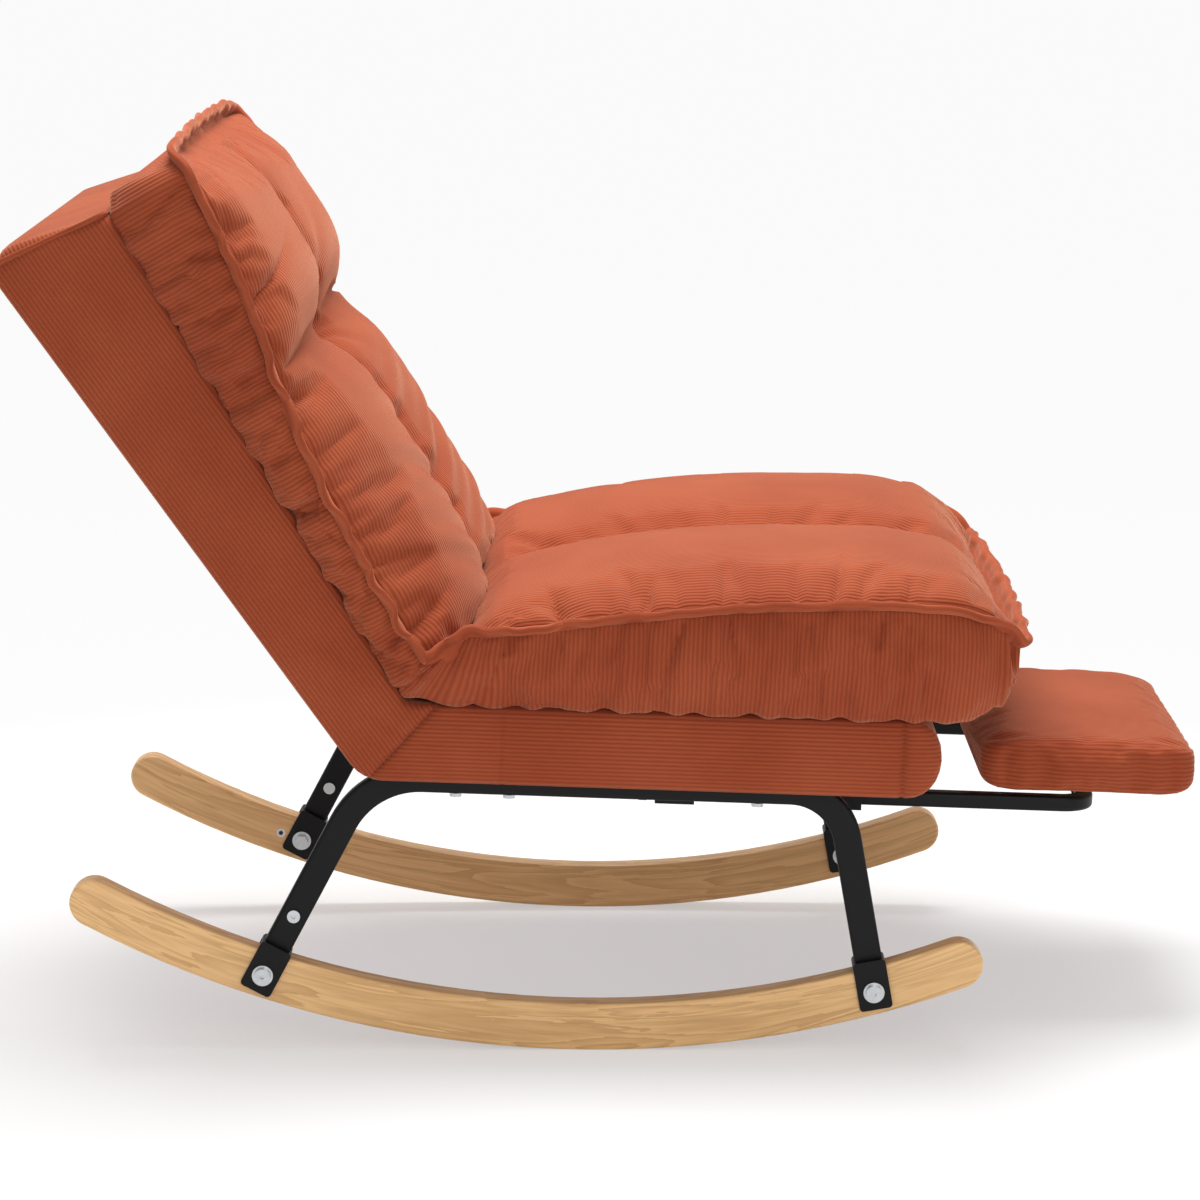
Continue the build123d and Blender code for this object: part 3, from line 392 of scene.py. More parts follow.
def make_welt(name, path, out, width, thickness):
    """A folded fabric edge along a closed path in mm, standing out from a seam."""
    count = len(path)
    tangent = np.roll(path, -1, 0) - np.roll(path, 1, 0)
    tangent /= np.maximum(np.linalg.norm(tangent, axis=1, keepdims=True), 1e-6)
    for _ in range(6):
        out = (np.roll(out, 1, 0) + 2 * out + np.roll(out, -1, 0)) / 4
    out = out - tangent * np.sum(out * tangent, axis=1, keepdims=True)
    out /= np.maximum(np.linalg.norm(out, axis=1, keepdims=True), 1e-6)
    side = np.cross(tangent, out)
    wave = ripple(run_along(path) * 0.55)
    reach_change, sway = 0.14, 1.2
    # Two layers folded back on themselves, with a stitched valley at the root: out and across
    profile = (
        (-1.0, -0.3), (0.0, -0.42), (0.25, -0.62), (0.75, -0.6), (0.97, -0.3),
        (0.97, 0.3), (0.75, 0.6), (0.25, 0.62), (0.0, 0.42), (-1.0, 0.3),
    )
    size = len(profile)
    strip = 1.5
    points, faces, uvs = [], [], []
    for i in range(count):
        reach = width * (1 + reach_change * wave[i])
        for a, b in profile:
            aside = b * thickness + wave[i] * sway * max(a, 0)
            points.append((path[i] + out[i] * a * reach + side[i] * aside) / 1000)
    for i in range(count):
        n = (i + 1) % count
        for j in range(size):
            k = (j + 1) % size
            faces.append((i * size + j, n * size + j, n * size + k, i * size + k))
            here, there = strip * j, strip * (j + 1)
            uvs.append([(here, 0), (here, 1), (there, 1), (there, 0)])
    obj = make_object(name, points, faces, uvs, "velvet corduroy")
    subdivide(obj)
    return obj


class CHAIR_PG_sizes(bpy.types.PropertyGroup):
    """Sizes of the upholstery."""

    wale_width: FloatProperty(
        name="Wale",
        description="Width of one rib of the corduroy",
        default=0.0042,
        min=0.001,
        unit="LENGTH",
    )
    welt_width: FloatProperty(
        name="Welt", description="How far the sewn edge stands out", default=0.012, min=0.001, unit="LENGTH"
    )
    welt_thickness: FloatProperty(
        name="Welt fold", description="Thickness of the sewn edge", default=0.007, min=0.001, unit="LENGTH"
    )
    pleat_depth: FloatProperty(
        name="Pleats", description="Depth of the pleats at the seams", default=0.013, min=0.0, unit="LENGTH"
    )
    panel_edge: FloatProperty(
        name="Panel edge",
        description="Rounding of the padded panels",
        default=0.011,
        min=0.002,
        unit="LENGTH",
    )


class CHAIR_PG_colours(bpy.types.PropertyGroup):
    """Colours of the fabric and the rockers."""

    fabric: FloatVectorProperty(
        name="Fabric", description="Corduroy in half light", subtype="COLOR", size=4, default=linear("8F3B21")
    )
    fabric_light: FloatVectorProperty(
        name="Fabric light",
        description="Pile brushed to the light",
        subtype="COLOR",
        size=4,
        default=linear("B25A38"),
    )
    # The colour of the painted shade in the grooves between the wales
    fabric_groove_shade: FloatVectorProperty(
        name="Fabric dark",
        description="Grooves between the wales",
        subtype="COLOR",
        size=4,
        default=linear("672614"),
    )
    wood: FloatVectorProperty(
        name="Wood", description="Lacquered rockers", subtype="COLOR", size=4, default=linear("F0C284")
    )


# Along the seat: place, half width, underside, seam, crest and valley heights above the base, in mm
SEAT_ROWS = (
    (-101, 341, 0, 78, 116, 86),
    (-2, 344, 0, 92, 143, 102),
    (102, 346, 0, 106, 158, 114),
    (200, 346, 0, 113, 162, 120),
    (299, 344, 0, 115, 159, 119),
    (351, 339, 2, 109, 145, 110),
    (382, 332, 16, 95, 118, 95),
    (397, 322, 40, 78, 88, 78),
)
# Down the back from its top, the same columns, heights out of the back
BACK_ROWS = (
    (0, 322, 12, 82, 92, 84),
    (14, 334, 2, 86, 106, 90),
    (45, 339, 0, 85, 122, 96),
    (100, 342, 0, 80, 129, 98),
    (176, 344, 0, 69, 126, 90),
    (228, 341, 0, 59, 95, 62),
    (277, 344, 0, 50, 113, 80),
    (388, 346, 0, 40, 119, 86),
    (495, 344, 0, 38, 118, 86),
    (540, 343, 0, 40, 112, 84),
)
# Steps across a section's face and down each of its sides
TOP = 112
SIDE = 20
# The fold under the headrest, down from the top of the back
NECK = 228.0
# Pleats by place: spacing, width and reach in mm
BACK_PLEATS = (84, 8, 78)
SEAT_PLEATS = (112, 5, 66)
GUSSET_PLEATS = (43, 4.5, 88)
# A section's angle, in degrees, from which its face belongs to the seat
SEAT_TURN = 61


def section_ring(half, under, seam, crest, valley):
    """One section of a two-lobed cushion, from the right seam over the top, then round below."""
    lobe, foot_share, bulge, bulge_height = 0.477, 0.925, 8, 0.45
    a = np.linspace(-1, 1, TOP + 1)
    side = np.abs(a)
    inner = valley + (crest - valley) * np.clip(1 - (1 - side / lobe) ** 2, 0, 1) ** 0.75
    outer = seam + (crest - seam) * np.clip(1 - ((side - lobe) / (1 - lobe)) ** 2, 0, 1) ** 0.7
    top = np.stack([a * half, np.where(side < lobe, inner, outer)], 1)
    foot = half * foot_share
    f = np.linspace(0, 1, SIDE + 1)[1:, None]
    corners = np.array([(half, seam), (half + bulge, under + bulge_height * (seam - under)), (foot, under)])
    gusset = (1 - f) ** 2 * corners[0] + 2 * f * (1 - f) * corners[1] + f**2 * corners[2]
    flat = np.linspace(foot, -foot, TOP - 2 * SIDE + 1)[1:-1]
    below = np.stack([flat, np.full(len(flat), under)], 1)
    mirror = gusset[::-1] * np.array([-1, 1])
    return np.concatenate([top, gusset, below, mirror])


def ring_faces(count, size):
    """Quads between rings of points, row by row."""
    return [
        (i * size + j, i * size + (j + 1) % size, (i + 1) * size + (j + 1) % size, (i + 1) * size + j)
        for i in range(count - 1)
        for j in range(size)
    ]


def on_front(rise):
    """Seat coordinates of a point up the front of the back."""
    return (
        HINGE[0] + KNUCKLE * math.cos(FRONT_ANGLE) - rise * math.sin(FRONT_ANGLE),
        HINGE[1] + KNUCKLE * math.sin(FRONT_ANGLE) + rise * math.cos(FRONT_ANGLE),
    )


def cushion_stations():
    """Sections of the cushion: down the back, round the crease and out along the seat."""
    spacing = 9.0
    back_end, seat_start = BACK_ROWS[-1][0], SEAT_ROWS[0][0]
    stations = []
    across_back = (math.cos(FRONT_ANGLE), math.sin(FRONT_ANGLE))
    for place in np.arange(0, back_end + 1, spacing):
        row = smooth_table(BACK_ROWS, np.array([place]))[0]
        stations.append((on_front(BACK_LENGTH - place), across_back, row))
    # The underside turns into the corner on a curve, and the face sinks into the crease
    low = np.array(on_front(BACK_LENGTH - back_end))
    corner = np.array(HINGE) + (12, 36)
    ahead = np.array([seat_start, BASE_TOP])
    for share in np.linspace(0.0, 1.0, 13)[1:-1]:
        angle = FRONT_ANGLE + share * (math.pi / 2 - FRONT_ANGLE)
        deep = math.sin(math.pi * share) ** 2
        foot = (1 - share) ** 2 * low + 2 * share * (1 - share) * corner + share**2 * ahead
        seam = 40 + 38 * share + 18 * deep
        crest = 112 + 4 * share - 42 * deep
        valley = 84 + 2 * share - 26 * deep
        stations.append((foot, (math.cos(angle), math.sin(angle)), (343, 0, seam, crest, valley)))
    nose = (382, 388, 393, SEAT_ROWS[-1][0])
    for place in np.concatenate([np.arange(seat_start, 376, spacing), nose]):
        row = smooth_table(SEAT_ROWS, np.array([place]))[0]
        stations.append(((place, BASE_TOP), (0.0, 1.0), row))
    return stations


def fill_cushion(stations):
    """The filled cushion's rows of points in mm, the run and angle of each row, and the places across it."""
    # It starts a little slack, and Cloth fills it
    slack, seat_slack, valley_slack = 12.0, 5.0, 4.0
    rings = [
        section_ring(half, under, seam, crest - slack - seat_slack * ray[1] ** 2, valley - valley_slack)
        for _, ray, (half, under, seam, crest, valley) in stations
    ]
    count, size = len(rings), len(rings[0])
    body = np.array([
        [seat(foot[0] + h * ray[0], foot[1] + h * ray[1], y) for y, h in ring]
        for ring, (foot, ray, _) in zip(rings, stations)
    ])
    faces = ring_faces(count, size)
    faces += [tuple(range(size)), tuple(range((count - 1) * size, count * size))]
    uvs = [[(0.0, 0.0)] * len(face) for face in faces]
    slack_body = make_object("slack_cushion", body.reshape(-1, 3), faces, uvs, "velvet corduroy")
    turn = np.array([math.degrees(math.atan2(ray[1], ray[0])) for _, ray, _ in stations])
    run = run_along(body[:, TOP]) * 1000
    # Held: the seams, the valley, the underside, the crease and both ends
    pinned = np.zeros((count, size), bool)
    pinned[:, [0, TOP // 2, TOP]] = True
    pinned[:, TOP + SIDE:size - SIDE + 1] = True
    pinned[np.abs(turn - 60) < 7] = True
    pinned[[0, -1]] = True
    full = puff(slack_body, pinned.ravel(), 11, 4.0).reshape(count, size, 3)
    bpy.data.objects.remove(slack_body)
    # Three times as many rows, for the pleats
    fine = np.linspace(0, count - 1, 3 * count - 2)
    low = np.minimum(fine.astype(int), count - 2)
    share = (fine - low)[:, None, None]
    full = full[low] * (1 - share) + full[low + 1] * share
    run = np.interp(fine, np.arange(count), run)
    turn = np.interp(fine, np.arange(count), turn)
    middle_of_back = 20
    return full, run, turn, run_along(rings[middle_of_back])


def outward(full):
    """Unit normals of rows of points that go round a closed body."""
    ahead = np.roll(full, -1, 1) - np.roll(full, 1, 1)
    normal = np.cross(ahead, np.gradient(full, axis=0))
    normal /= np.maximum(np.linalg.norm(normal, axis=2, keepdims=True), 1e-6)
    return normal * np.sign(np.sum(normal * (full - full.mean(axis=1, keepdims=True)), axis=2).mean())


def cushion_folds(full, run, turn, depth):
    """How far each point of the cushion moves out, in mm, for its pleats, tuft and folds."""
    shift = np.zeros(full.shape[:2])
    size = full.shape[1]
    face = slice(0, TOP + 1)
    left_side, right_side = np.arange(TOP + 1, TOP + SIDE + 1), np.arange(size - SIDE, size)
    for seam, gusset, start in ((TOP, left_side, 0.0), (0, right_side, 1.3)):
        away = np.linalg.norm(full - full[:, seam:seam + 1], axis=2)
        beside = np.broadcast_to(run[:, None], away.shape)
        rise = 1 - np.exp(-away / 9)
        on_back = pleats(beside, away, *BACK_PLEATS, start)
        on_seat = pleats(beside, away, *SEAT_PLEATS, start)
        on_face = np.where(turn[:, None] < SEAT_TURN, on_back, on_seat)
        shift[:, face] -= (depth * on_face * (0.25 + rise))[:, face]
        shift[:, face] += (0.4 * depth * rise * np.exp(-((away / 70) ** 2)))[:, face]
        on_gusset = pleats(beside, away, *GUSSET_PLEATS, start + 0.8)
        shift[:, gusset] -= (depth * on_gusset * rise)[:, gusset]
        shift[:, gusset] += (depth * rise * (0.2 + 0.2 * ripple(run)[:, None]))[:, gusset]
    # The fold under the headrest, drawn in by one tuft in the middle, with creases that fan from it
    across = np.linspace(-1, 1, TOP + 1)[None, :] * 344
    along = run[:, None] - NECK
    away = np.hypot(across, along)
    fan = np.arctan2(along, np.abs(across))
    creases = sum(np.exp(-(((fan - angle) / 0.14) ** 2)) for angle in (-0.75, -0.25, 0.2, 0.62))
    tuft_depth, crease_depth, fold_depth, lower_depth = 17, 6.5, 5, 4
    shift[:, face] -= tuft_depth * np.exp(-((away / 30) ** 2))
    shift[:, face] -= crease_depth * creases * np.exp(-((away / 105) ** 2)) * (1 - np.exp(-away / 26))
    whole = np.clip(1 - np.abs(across) / 330, 0, 1) ** 0.3
    shift[:, face] -= fold_depth * np.exp(-((along / 13) ** 2)) * whole
    # Soft folds across the lower back
    lower = np.exp(-(((run - 440) / 110) ** 2))[:, None]
    folds = ripple(run[:, None] * 0.8 + 0.25 * np.abs(across))
    shift[:, face] += lower_depth * lower * folds * np.sin(np.linspace(0, math.pi, TOP + 1))
    return shift


def cushion_end(full, row, out, points, faces, uvs):
    """Closes one end of the cushion at a bowed, gathered line between its seams, and gives that line."""
    bow, gather = 11, 2.0
    size = full.shape[1]
    first = (len(full) - 1) * size if row else 0
    f = np.linspace(0, 1, TOP + 1)[:, None]
    line = full[row][0] * (1 - f) + full[row][TOP] * f
    line = line + out * (bow * np.sin(math.pi * f) ** 0.4 + gather * ripple(f * 400))
    added = len(points)
    points += list(line[1:-1] / 1000)
    index = [first] + list(range(added, added + TOP - 1)) + [first + TOP]
    under = [first] + [first + j for j in range(size - 1, TOP, -1)] + [first + TOP]
    for j in range(TOP):
        over = [first + j, first + j + 1, index[j + 1], index[j]]
        below = [index[j], index[j + 1], under[j + 1], under[j]]
        for quad in (over, below):
            quad = tuple(dict.fromkeys(quad))
            if len(quad) > 2:
                faces.append(quad)
                uvs.append([(points[n][1] * 1000, 0.0) for n in quad])
    return index


class CHAIR_OT_cushion(bpy.types.Operator):
    """Overstuffed cushion over seat and back, in two lobes, with its welted edge."""

    bl_idname = "chair.cushion"
    bl_label = "Seat and back cushion"

    def execute(self, context):
        sizes = context.scene.chair_sizes
        stations = cushion_stations()
        full, run, turn, across = fill_cushion(stations)
        full = full + outward(full) * cushion_folds(full, run, turn, sizes.pleat_depth * 1000)[:, :, None]
        count, size = full.shape[:2]
        points = list(full.reshape(-1, 3) / 1000)
        faces = ring_faces(count, size)
        # Wales run along the faces and down the sides
        uvs = []
        for i in range(count - 1):
            for j in range(size):
                if j < TOP:
                    here, there = across[j], across[j + 1]
                    uvs.append([(here, 0), (there, 0), (there, 1), (here, 1)])
                else:
                    uvs.append([(run[i], 0), (run[i], 1), (run[i + 1], 1), (run[i + 1], 0)])
        loops = []
        for row, step in ((0, -1), (-1, 1)):
            ray = stations[row][1]
            out = np.array(seat(ray[1], -ray[0], 0)) * 1000 * step
            loops.append(cushion_end(full, row, out, points, faces, uvs))
        obj = make_object("chair_cushion", points, faces, uvs, "velvet corduroy")
        left = [i * size + TOP for i in range(count)]
        right = [i * size for i in range(count)]
        loop = left + loops[1][::-1][1:-1] + right[::-1] + loops[0][1:-1]
        path = np.array([obj.data.vertices[i].co for i in loop]) * 1000
        out = np.array([obj.data.vertices[i].normal for i in loop])
        width, thickness = sizes.welt_width * 1000, sizes.welt_thickness * 1000
        welt = make_welt("chair_cushion_welt", path, out, width, thickness)
        ray = math.radians(52)
        for piece in (obj, welt):
            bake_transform(piece)
        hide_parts("seat_cushion", "back_cushion")
        return {"FINISHED"}


def on_arc(centre, radius, turn):
    """A point on an arc, the angle in degrees."""
    angle = math.radians(turn)
    return (centre[0] + radius * math.cos(angle), centre[1] + radius * math.sin(angle))


def from_back(t, s):
    """Seat coordinates from the back's."""
    return (
        HINGE[0] + t * math.cos(LEAN) - s * math.sin(LEAN),
        HINGE[1] + t * math.sin(LEAN) + s * math.cos(LEAN),
    )


def rounded_section(length, half, r, side, flat, turn):
    """Points round an upright section with rounded corners: height along its line, and place across."""
    corner = np.radians(np.linspace(0, 90, turn + 1))[:-1]
    ups = np.linspace(r, length - r, side + 1)[:-1]
    overs = np.linspace(-(half - r), half - r, flat + 1)[:-1]
    ring = [(a, -half) for a in ups]
    ring += [(length - r + r * math.sin(c), -(half - r) - r * math.cos(c)) for c in corner]
    ring += [(length, y) for y in overs]
    ring += [(length - r + r * math.cos(c), half - r + r * math.sin(c)) for c in corner]
    ring += [(length - a, half) for a in ups]
    ring += [(r - r * math.sin(c), half - r + r * math.cos(c)) for c in corner]
    ring += [(0.0, -y) for y in overs]
    ring += [(r - r * math.cos(c), -(half - r) - r * math.sin(c)) for c in corner]
    return ring


def swell_side(places, span):
    """Swells one side of a padded section a little, with a cover that wrinkles near the bend."""
    swell, wrinkle, fade = 3.0, 1.8, 110
    bend = (HINGE[0] + 10, HINGE[1] + 40)
    for j in span:
        bulge = math.sin(math.pi * (j - span.start) / (len(span) - 1)) ** 0.7
        away = math.hypot(places[j, 0] - bend[0], places[j, 1] - bend[1])
        crumple = ripple(0.9 * places[j, 0] + 1.5 * places[j, 1]) * math.exp(-away / fade)
        places[j, 2] += np.sign(places[j, 2]) * bulge * (swell + wrinkle * crumple)


def padded_body(name, lines, edge, rib, wrap):
    """A padded body of rounded sections: lines from lower to upper edge, each with its half width."""
    # Steps up a side, across the top and round a corner
    side, flat, turn = 16, 30, 5
    second = side + 2 * turn + flat
    rings, marks = [], []
    run = 0.0
    last = None
    for low, high, half in lines:
        low, high = np.array(low), np.array(high)
        length = np.linalg.norm(high - low)
        ahead = (high - low) / length
        if last is not None:
            run += max(np.linalg.norm(low - last[0]), np.linalg.norm(high - last[1]))
        last = (low, high)
        ring = rounded_section(length, half, min(edge, 0.48 * length), side, flat, turn)
        places = np.array([[*(low + ahead * a), y] for a, y in ring])
        for start in (0, second):
            swell_side(places, range(start, start + side + 1))
        rings.append(places)
        marks.append(run)
    count, size = len(rings), len(rings[0])
    points = [seat(*p) for ring in rings for p in ring]
    faces = ring_faces(count, size)
    # On the side panels, corners and all, the wales follow rib; elsewhere they run across or around
    panels = set(range(-turn, side + turn)) | set(range(second - turn, second + side + turn))
    uvs = []
    for i in range(count - 1):
        for j in range(size):
            corners = ((i, j), (i, (j + 1) % size), (i + 1, (j + 1) % size), (i + 1, j))
            if j in panels or j - size in panels:
                uvs.append([(rings[m][n, :2] @ rib, 0.0) for m, n in corners])
            elif wrap == "across":
                uvs.append([(rings[m][n, 2], 0.0) for m, n in corners])
            else:
                uvs.append([(marks[m], 0.0) for m, _ in corners])
    for first in (0, count - 1):
        faces.append(tuple(first * size + j for j in range(size)))
        uvs.append([(rings[first][j, 2], 0.0) for j in range(size)])
    return make_object(name, points, faces, uvs, "velvet corduroy")


def rounded_end(low_arc, high_arc, half, edge):
    """Lines round the end of a padded body, from arcs that give a point for each angle."""
    turns = (15, 30, 45, 60, 75, 90)
    return [
        (low_arc(turn), high_arc(turn), half - edge * (1 - math.cos(math.radians(turn)))) for turn in turns
    ]


def top_piping(name, low, high, half):
    """Piping round the top panel of the back."""
    corners = [(*low, -half), (*high, -half), (*high, half), (*low, half)]
    middle = np.mean(corners, axis=0)
    up = (-math.sin(LEAN), math.cos(LEAN), 0)
    path, out = [], []
    for k in range(4):
        along_width = k % 2 == 1
        start, end = np.array(corners[k]), np.array(corners[(k + 1) % 4])
        for f in np.linspace(0, 1, 60 if along_width else 14)[:-1]:
            path.append(start * (1 - f) + end * f)
            away = (path[-1] - middle) * (0.3, 0.3, 0.0 if along_width else 1.0)
            out.append(away / max(np.linalg.norm(away), 1e-6) + up)
    path = np.array([seat(*p) for p in path]) * 1000
    return make_welt(name, path, np.array([seat(*p) for p in out]), 5, 4)


class CHAIR_OT_shell(bpy.types.Operator):
    """Upholstered back shell and seat base, one cover with a mitred seam at the bend."""

    bl_idname = "chair.shell"
    bl_label = "Back shell and seat base"

    def execute(self, context):
        edge = context.scene.chair_sizes.panel_edge * 1000
        half = BODY_HALF
        top = BASE_TOP - 2
        groove = half - 3
        mitre = (on_arc(HINGE, KNUCKLE, 250), (HINGE[0] + 52, top), groove)
        lean = math.degrees(LEAN)
        # Up the back from the mitre, then over its rounded top, which falls a little to the front
        foot = 23
        lines = [
            mitre,
            (on_arc(HINGE, KNUCKLE, 244), (HINGE[0] + 43, top), half),
            (on_arc(HINGE, KNUCKLE, 231), (HINGE[0] + 32, top), half),
            (on_arc(HINGE, KNUCKLE, lean + 180), on_front(foot), half),
        ]
        rear_round, front_round, fall = 30, 12, 24
        rear_top = BACK_HEIGHT - rear_round
        front_top = BACK_HEIGHT / math.cos(FRONT_LEAN) - fall - front_round
        for share in np.linspace(0, 1, 44)[1:]:
            rise = foot + share * (front_top - foot)
            lines.append((from_back(-KNUCKLE, share * rear_top), on_front(rise), half))
        rear_centre = from_back(-KNUCKLE + rear_round, rear_top)
        front_centre = on_arc(on_front(front_top), -front_round, lean)
        lines += rounded_end(
            lambda turn: on_arc(rear_centre, rear_round, lean + 180 - turn),
            lambda turn: on_arc(front_centre, front_round, lean + turn),
            half,
            edge,
        )
        shell = padded_body("chair_back_shell", lines, edge, (math.cos(LEAN), math.sin(LEAN)), "across")
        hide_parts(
            "back_side_panel_right",
            "back_side_panel_left",
            "back_rear_panel",
            "back_top_panel",
            "back_deck",
        )
        piping = top_piping("chair_back_piping", *lines[-4])
        # Out along the seat from the mitre to its round front, with two seams down the sides
        front = BASE_FRONT - NOSE
        rear_seam, front_seam = -104, front - 4
        lines = [
            mitre,
            (on_arc(HINGE, KNUCKLE, 257), (mitre[1][0] + 9, top), half),
            (on_arc(HINGE, KNUCKLE, 270), (mitre[1][0] + 22, top), half),
        ]
        beside_seams = [rear_seam - 4, rear_seam, rear_seam + 4, front_seam, front]
        places = np.concatenate([np.linspace(HINGE[0] + 84, front - 9, 40), beside_seams])
        seam_depth = {rear_seam: 1.6, front_seam: 5}
        for place in np.unique(np.round(places, 1)):
            lines.append(((place, BASE_BOTTOM), (place, top), half - seam_depth.get(place, 0)))
        lines += rounded_end(
            lambda turn: on_arc((front, BASE_BOTTOM + NOSE), NOSE, turn - 90),
            lambda turn: on_arc((front, top - NOSE), NOSE, 90 - turn),
            half,
            edge,
        )
        base = padded_body("chair_seat_base", lines, edge, (0.0, 1.0), "around")
        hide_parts("seat_side_panel_right", "seat_side_panel_left", "seat_front_panel", "seat_deck")
        for piece in (shell, base, piping):
            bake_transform(piece)
        return {"FINISHED"}


# Along the footrest pad: place, half width, underside, shoulder and crown heights, in mm
PAD_ROWS = (
    (-110, 166, 12, 36, 39),
    (-106, 176, 6, 42, 46),
    (-98, 185, 2, 46, 51),
    (-84, 191, 0, 48, 53),
    (-40, 194, 0, 49, 55),
    (40, 194, 0, 49, 55),
    (84, 191, 0, 48, 53),
    (98, 185, 2, 46, 51),
    (106, 176, 6, 42, 46),
    (110, 166, 12, 36, 39),
)


class CHAIR_OT_footrest(bpy.types.Operator):
    """Padded footrest."""

    bl_idname = "chair.footrest"
    bl_label = "Footrest pad"

    def execute(self, context):
        # Points across its face and round each side, and how far a side swells
        across, around, swell = 60, 12, 9
        middle, seat_height = 490, 257
        nose = np.array([102, 106, 108.5, 110])
        places = np.concatenate([-nose[::-1], np.linspace(-97, 97, 36), nose])
        rings = []
        for place in places:
            half, under, shoulder, crown = smooth_table(PAD_ROWS, np.array([place]))[0]
            a = np.linspace(-1, 1, across)
            foot = half - swell
            top = np.stack([a * foot, shoulder + (crown - shoulder) * (1 - a**2)], 1)
            f = np.linspace(0, math.pi, around + 2)[1:-1]
            drop = shoulder - (shoulder - under) * f / math.pi
            bulge = np.stack([foot + swell * np.sin(f) ** 0.7, drop], 1)
            low = np.stack([a[::-1] * foot, np.full(across, under)], 1)
            rings.append(np.concatenate([top, bulge, low, (bulge * (-1, 1))[::-1]]))
        count, size = len(rings), len(rings[0])
        points = [seat(middle + p, seat_height + h, y) for p, ring in zip(places, rings) for y, h in ring]
        faces, uvs = ring_faces(count, size), []
        # Wales run along the faces, and level on the sides
        sides = set(range(across - 1, across + around)) | set(range(size - around - 1, size))
        for i in range(count - 1):
            for j in range(size):
                k = (j + 1) % size
                column = 1 if j in sides else 0
                corners = ((i, j), (i, k), (i + 1, k), (i + 1, j))
                uvs.append([(rings[m][n][column], 0.0) for m, n in corners])
        for row, order in ((0, range(size)[::-1]), (count - 1, range(size))):
            faces.append(tuple(row * size + j for j in order))
            uvs.append([(rings[row][j][1], 0.0) for j in order])
        pad = make_object("footrest_pad_cover", points, faces, uvs, "velvet corduroy")
        # Held: the underside, the edges of the face and both ends
        pinned = np.zeros((count, size), bool)
        pinned[:, across + around:2 * across + around] = True
        pinned[:, [0, across - 1]] = True
        pinned[[0, -1]] = True
        full = puff(pad, pinned.ravel(), 5, 3.0) / 1000
        pad.data.vertices.foreach_set("co", full.ravel())
        pad.data.update()
        subdivide(pad)
        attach(pad, "footrest_pad")
        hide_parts("footrest_cushion")
        return {"FINISHED"}


class CHAIR_OT_finishes(bpy.types.Operator):
    """Wood, steel, zinc and the hidden pieces' finishes."""

    bl_idname = "chair.finishes"
    bl_label = "Frame finishes"

    def execute(self, context):
        by_slot = {
            "rocker_wood": "lacquered bent birch",
            "timber": "sawn pine",
            "black_steel": "black powder coat",
            "zinc": "bright zinc plate",
            "hinge_steel": "hot rolled steel",
            "corduroy": "velvet corduroy",
            "foam": "upholstery foam",
            "webbing": "jute webbing",
            "dust_cloth": "black nonwoven cloth",
            "plastic": "moulded nylon",
        }
        for part in frame["record"]["subparts"]:
            node = frame["nodes"][part["node"]]
            node.data.materials.clear()
            node.data.materials.append(finish(by_slot[part["material_slot"]]))
        return {"FINISHED"}


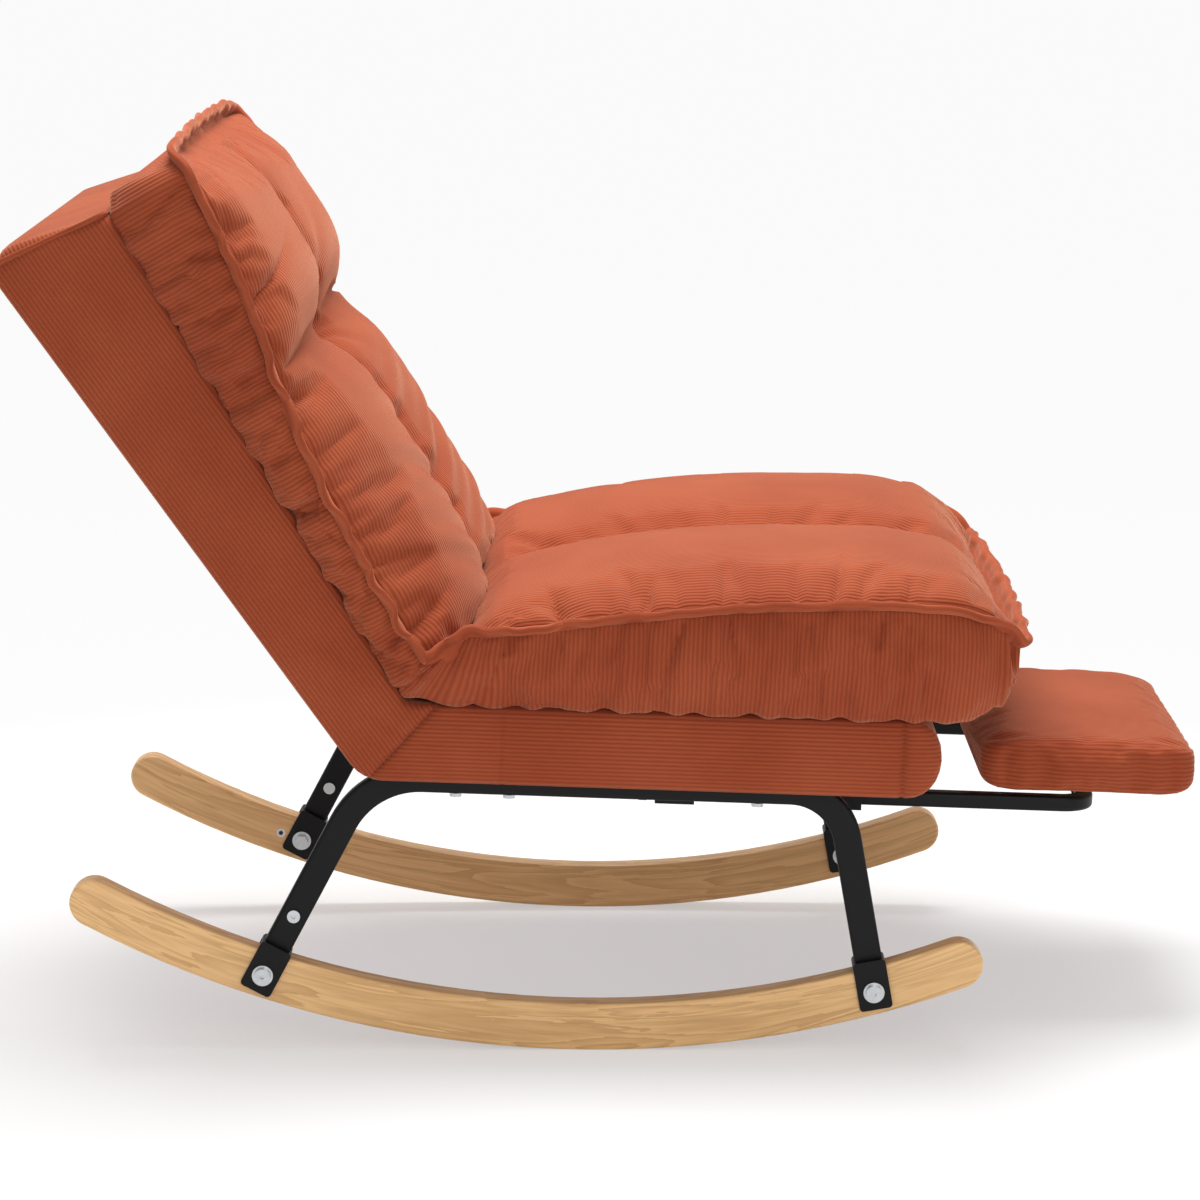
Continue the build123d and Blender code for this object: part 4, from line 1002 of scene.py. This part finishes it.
class CHAIR_OT_stage(bpy.types.Operator):
    """Pale floor, soft studio light and the camera."""

    bl_idname = "chair.stage"
    bl_label = "Studio"

    def execute(self, context):
        scene = context.scene
        scene.view_settings.view_transform = "Standard"
        material, tree, output = new_material("pale studio floor")
        # Painted board: matt and nearly white, in clouds so faint that they hardly show
        cloud_mm = 333.0
        spot = add_node(tree, "TexCoord").outputs["Object"]
        grit = add_node(tree, "TexNoise", {"Vector": spot, "Scale": per_metre(cloud_mm)})
        pale, white = linear("F2F2F2"), linear("F7F7F7")
        tone = add_node(tree, "Mix", {0: grit.outputs[0], 6: pale, 7: white}, data_type="RGBA")
        matt = add_node(tree, "BsdfDiffuse", {0: tone.outputs[2]})
        glow = add_node(tree, "Emission", {0: linear("FCFCFC"), 1: 1.0})
        ray = add_node(tree, "LightPath")
        straight, mirrored = ray.outputs["Is Camera Ray"], ray.outputs["Is Glossy Ray"]
        seen = add_node(tree, "Math", {0: straight, 1: mirrored}, operation="MAXIMUM")
        # It fades to the background's white away from the chair, and keeps the shadow near it
        away = add_node(tree, "VectorMath", {0: spot}, operation="LENGTH")
        fade = add_node(tree, "MapRange", {0: away.outputs["Value"], 1: 0.5, 2: 1.5, 3: 0.45, 4: 0.97})
        share = add_node(tree, "Math", {0: seen.outputs[0], 1: fade.outputs[0]}, operation="MULTIPLY")
        mix = add_node(tree, "MixShader", {0: share.outputs[0], 1: matt.outputs[0], 2: glow.outputs[0]})
        tree.links.new(mix.outputs[0], output.inputs[0])
        mesh = bpy.data.meshes.new("studio_floor")
        reach = 60.0
        corners = [(-reach, -reach, 0), (reach, -reach, 0), (reach, reach, 0), (-reach, reach, 0)]
        mesh.from_pydata(corners, [], [(0, 1, 2, 3)])
        mesh.materials.append(material)
        floor = bpy.data.objects.new("studio_floor", mesh)
        scene.collection.objects.link(floor)
        world = bpy.data.worlds.new("studio")
        scene.world = world
        world.use_nodes = True
        background = world.node_tree.nodes["Background"]
        background.inputs["Color"].default_value = linear("FAFAFA")
        background.inputs["Strength"].default_value = 0.5
        # Place and aim in metres, size in metres, power in watts
        for name, place, aim, size, power in (
            ("overhead softbox", (-0.1, 0.4, 3.0), (0.0, 0.0, 0.3), 2.0, 128),
            ("front softbox", (1.0, -3.7, 1.7), (0.0, 0.0, 0.4), 2.0, 26),
        ):
            lamp = bpy.data.lights.new(name, "AREA")
            lamp.size = size
            lamp.energy = power
            light = bpy.data.objects.new(name, lamp)
            light.location = place
            light.rotation_euler = (Vector(aim) - Vector(place)).to_track_quat("-Z", "Y").to_euler()
            scene.collection.objects.link(light)
        camera = bpy.data.objects.new("camera", bpy.data.cameras.new("camera"))
        camera.location = (0.0025, -4.335, 1.216)
        camera.rotation_euler = (math.radians(79.39), 0, 0)
        camera.data.lens = 125.7
        camera.data.sensor_width = 36
        scene.collection.objects.link(camera)
        scene.camera = camera
        return {"FINISHED"}


class CHAIR_PT_panel(bpy.types.Panel):
    """The chair's steps."""

    bl_idname = "CHAIR_PT_panel"
    bl_label = "Rocking chair"
    bl_space_type = "VIEW_3D"
    bl_region_type = "UI"
    bl_category = "Chair"

    def draw(self, context):
        for group in (context.scene.chair_sizes, context.scene.chair_colours):
            for name in group.__annotations__:
                self.layout.prop(group, name)
        for operator in OPERATORS:
            self.layout.operator(operator.bl_idname)


OPERATORS = (CHAIR_OT_finishes, CHAIR_OT_cushion, CHAIR_OT_shell, CHAIR_OT_footrest, CHAIR_OT_stage)
CLASSES = (CHAIR_PG_sizes, CHAIR_PG_colours) + OPERATORS + (CHAIR_PT_panel,)


def register():
    for cls in CLASSES:
        bpy.utils.register_class(cls)
    bpy.types.Scene.chair_sizes = PointerProperty(type=CHAIR_PG_sizes)
    bpy.types.Scene.chair_colours = PointerProperty(type=CHAIR_PG_colours)


def unregister():
    del bpy.types.Scene.chair_colours
    del bpy.types.Scene.chair_sizes
    for cls in reversed(CLASSES):
        bpy.utils.unregister_class(cls)


def main():
    register()
    bpy.ops.chair.finishes()
    bpy.ops.chair.cushion()
    bpy.ops.chair.shell()
    bpy.ops.chair.footrest()
    bpy.ops.chair.stage()


if __name__ == "__main__":
    main()
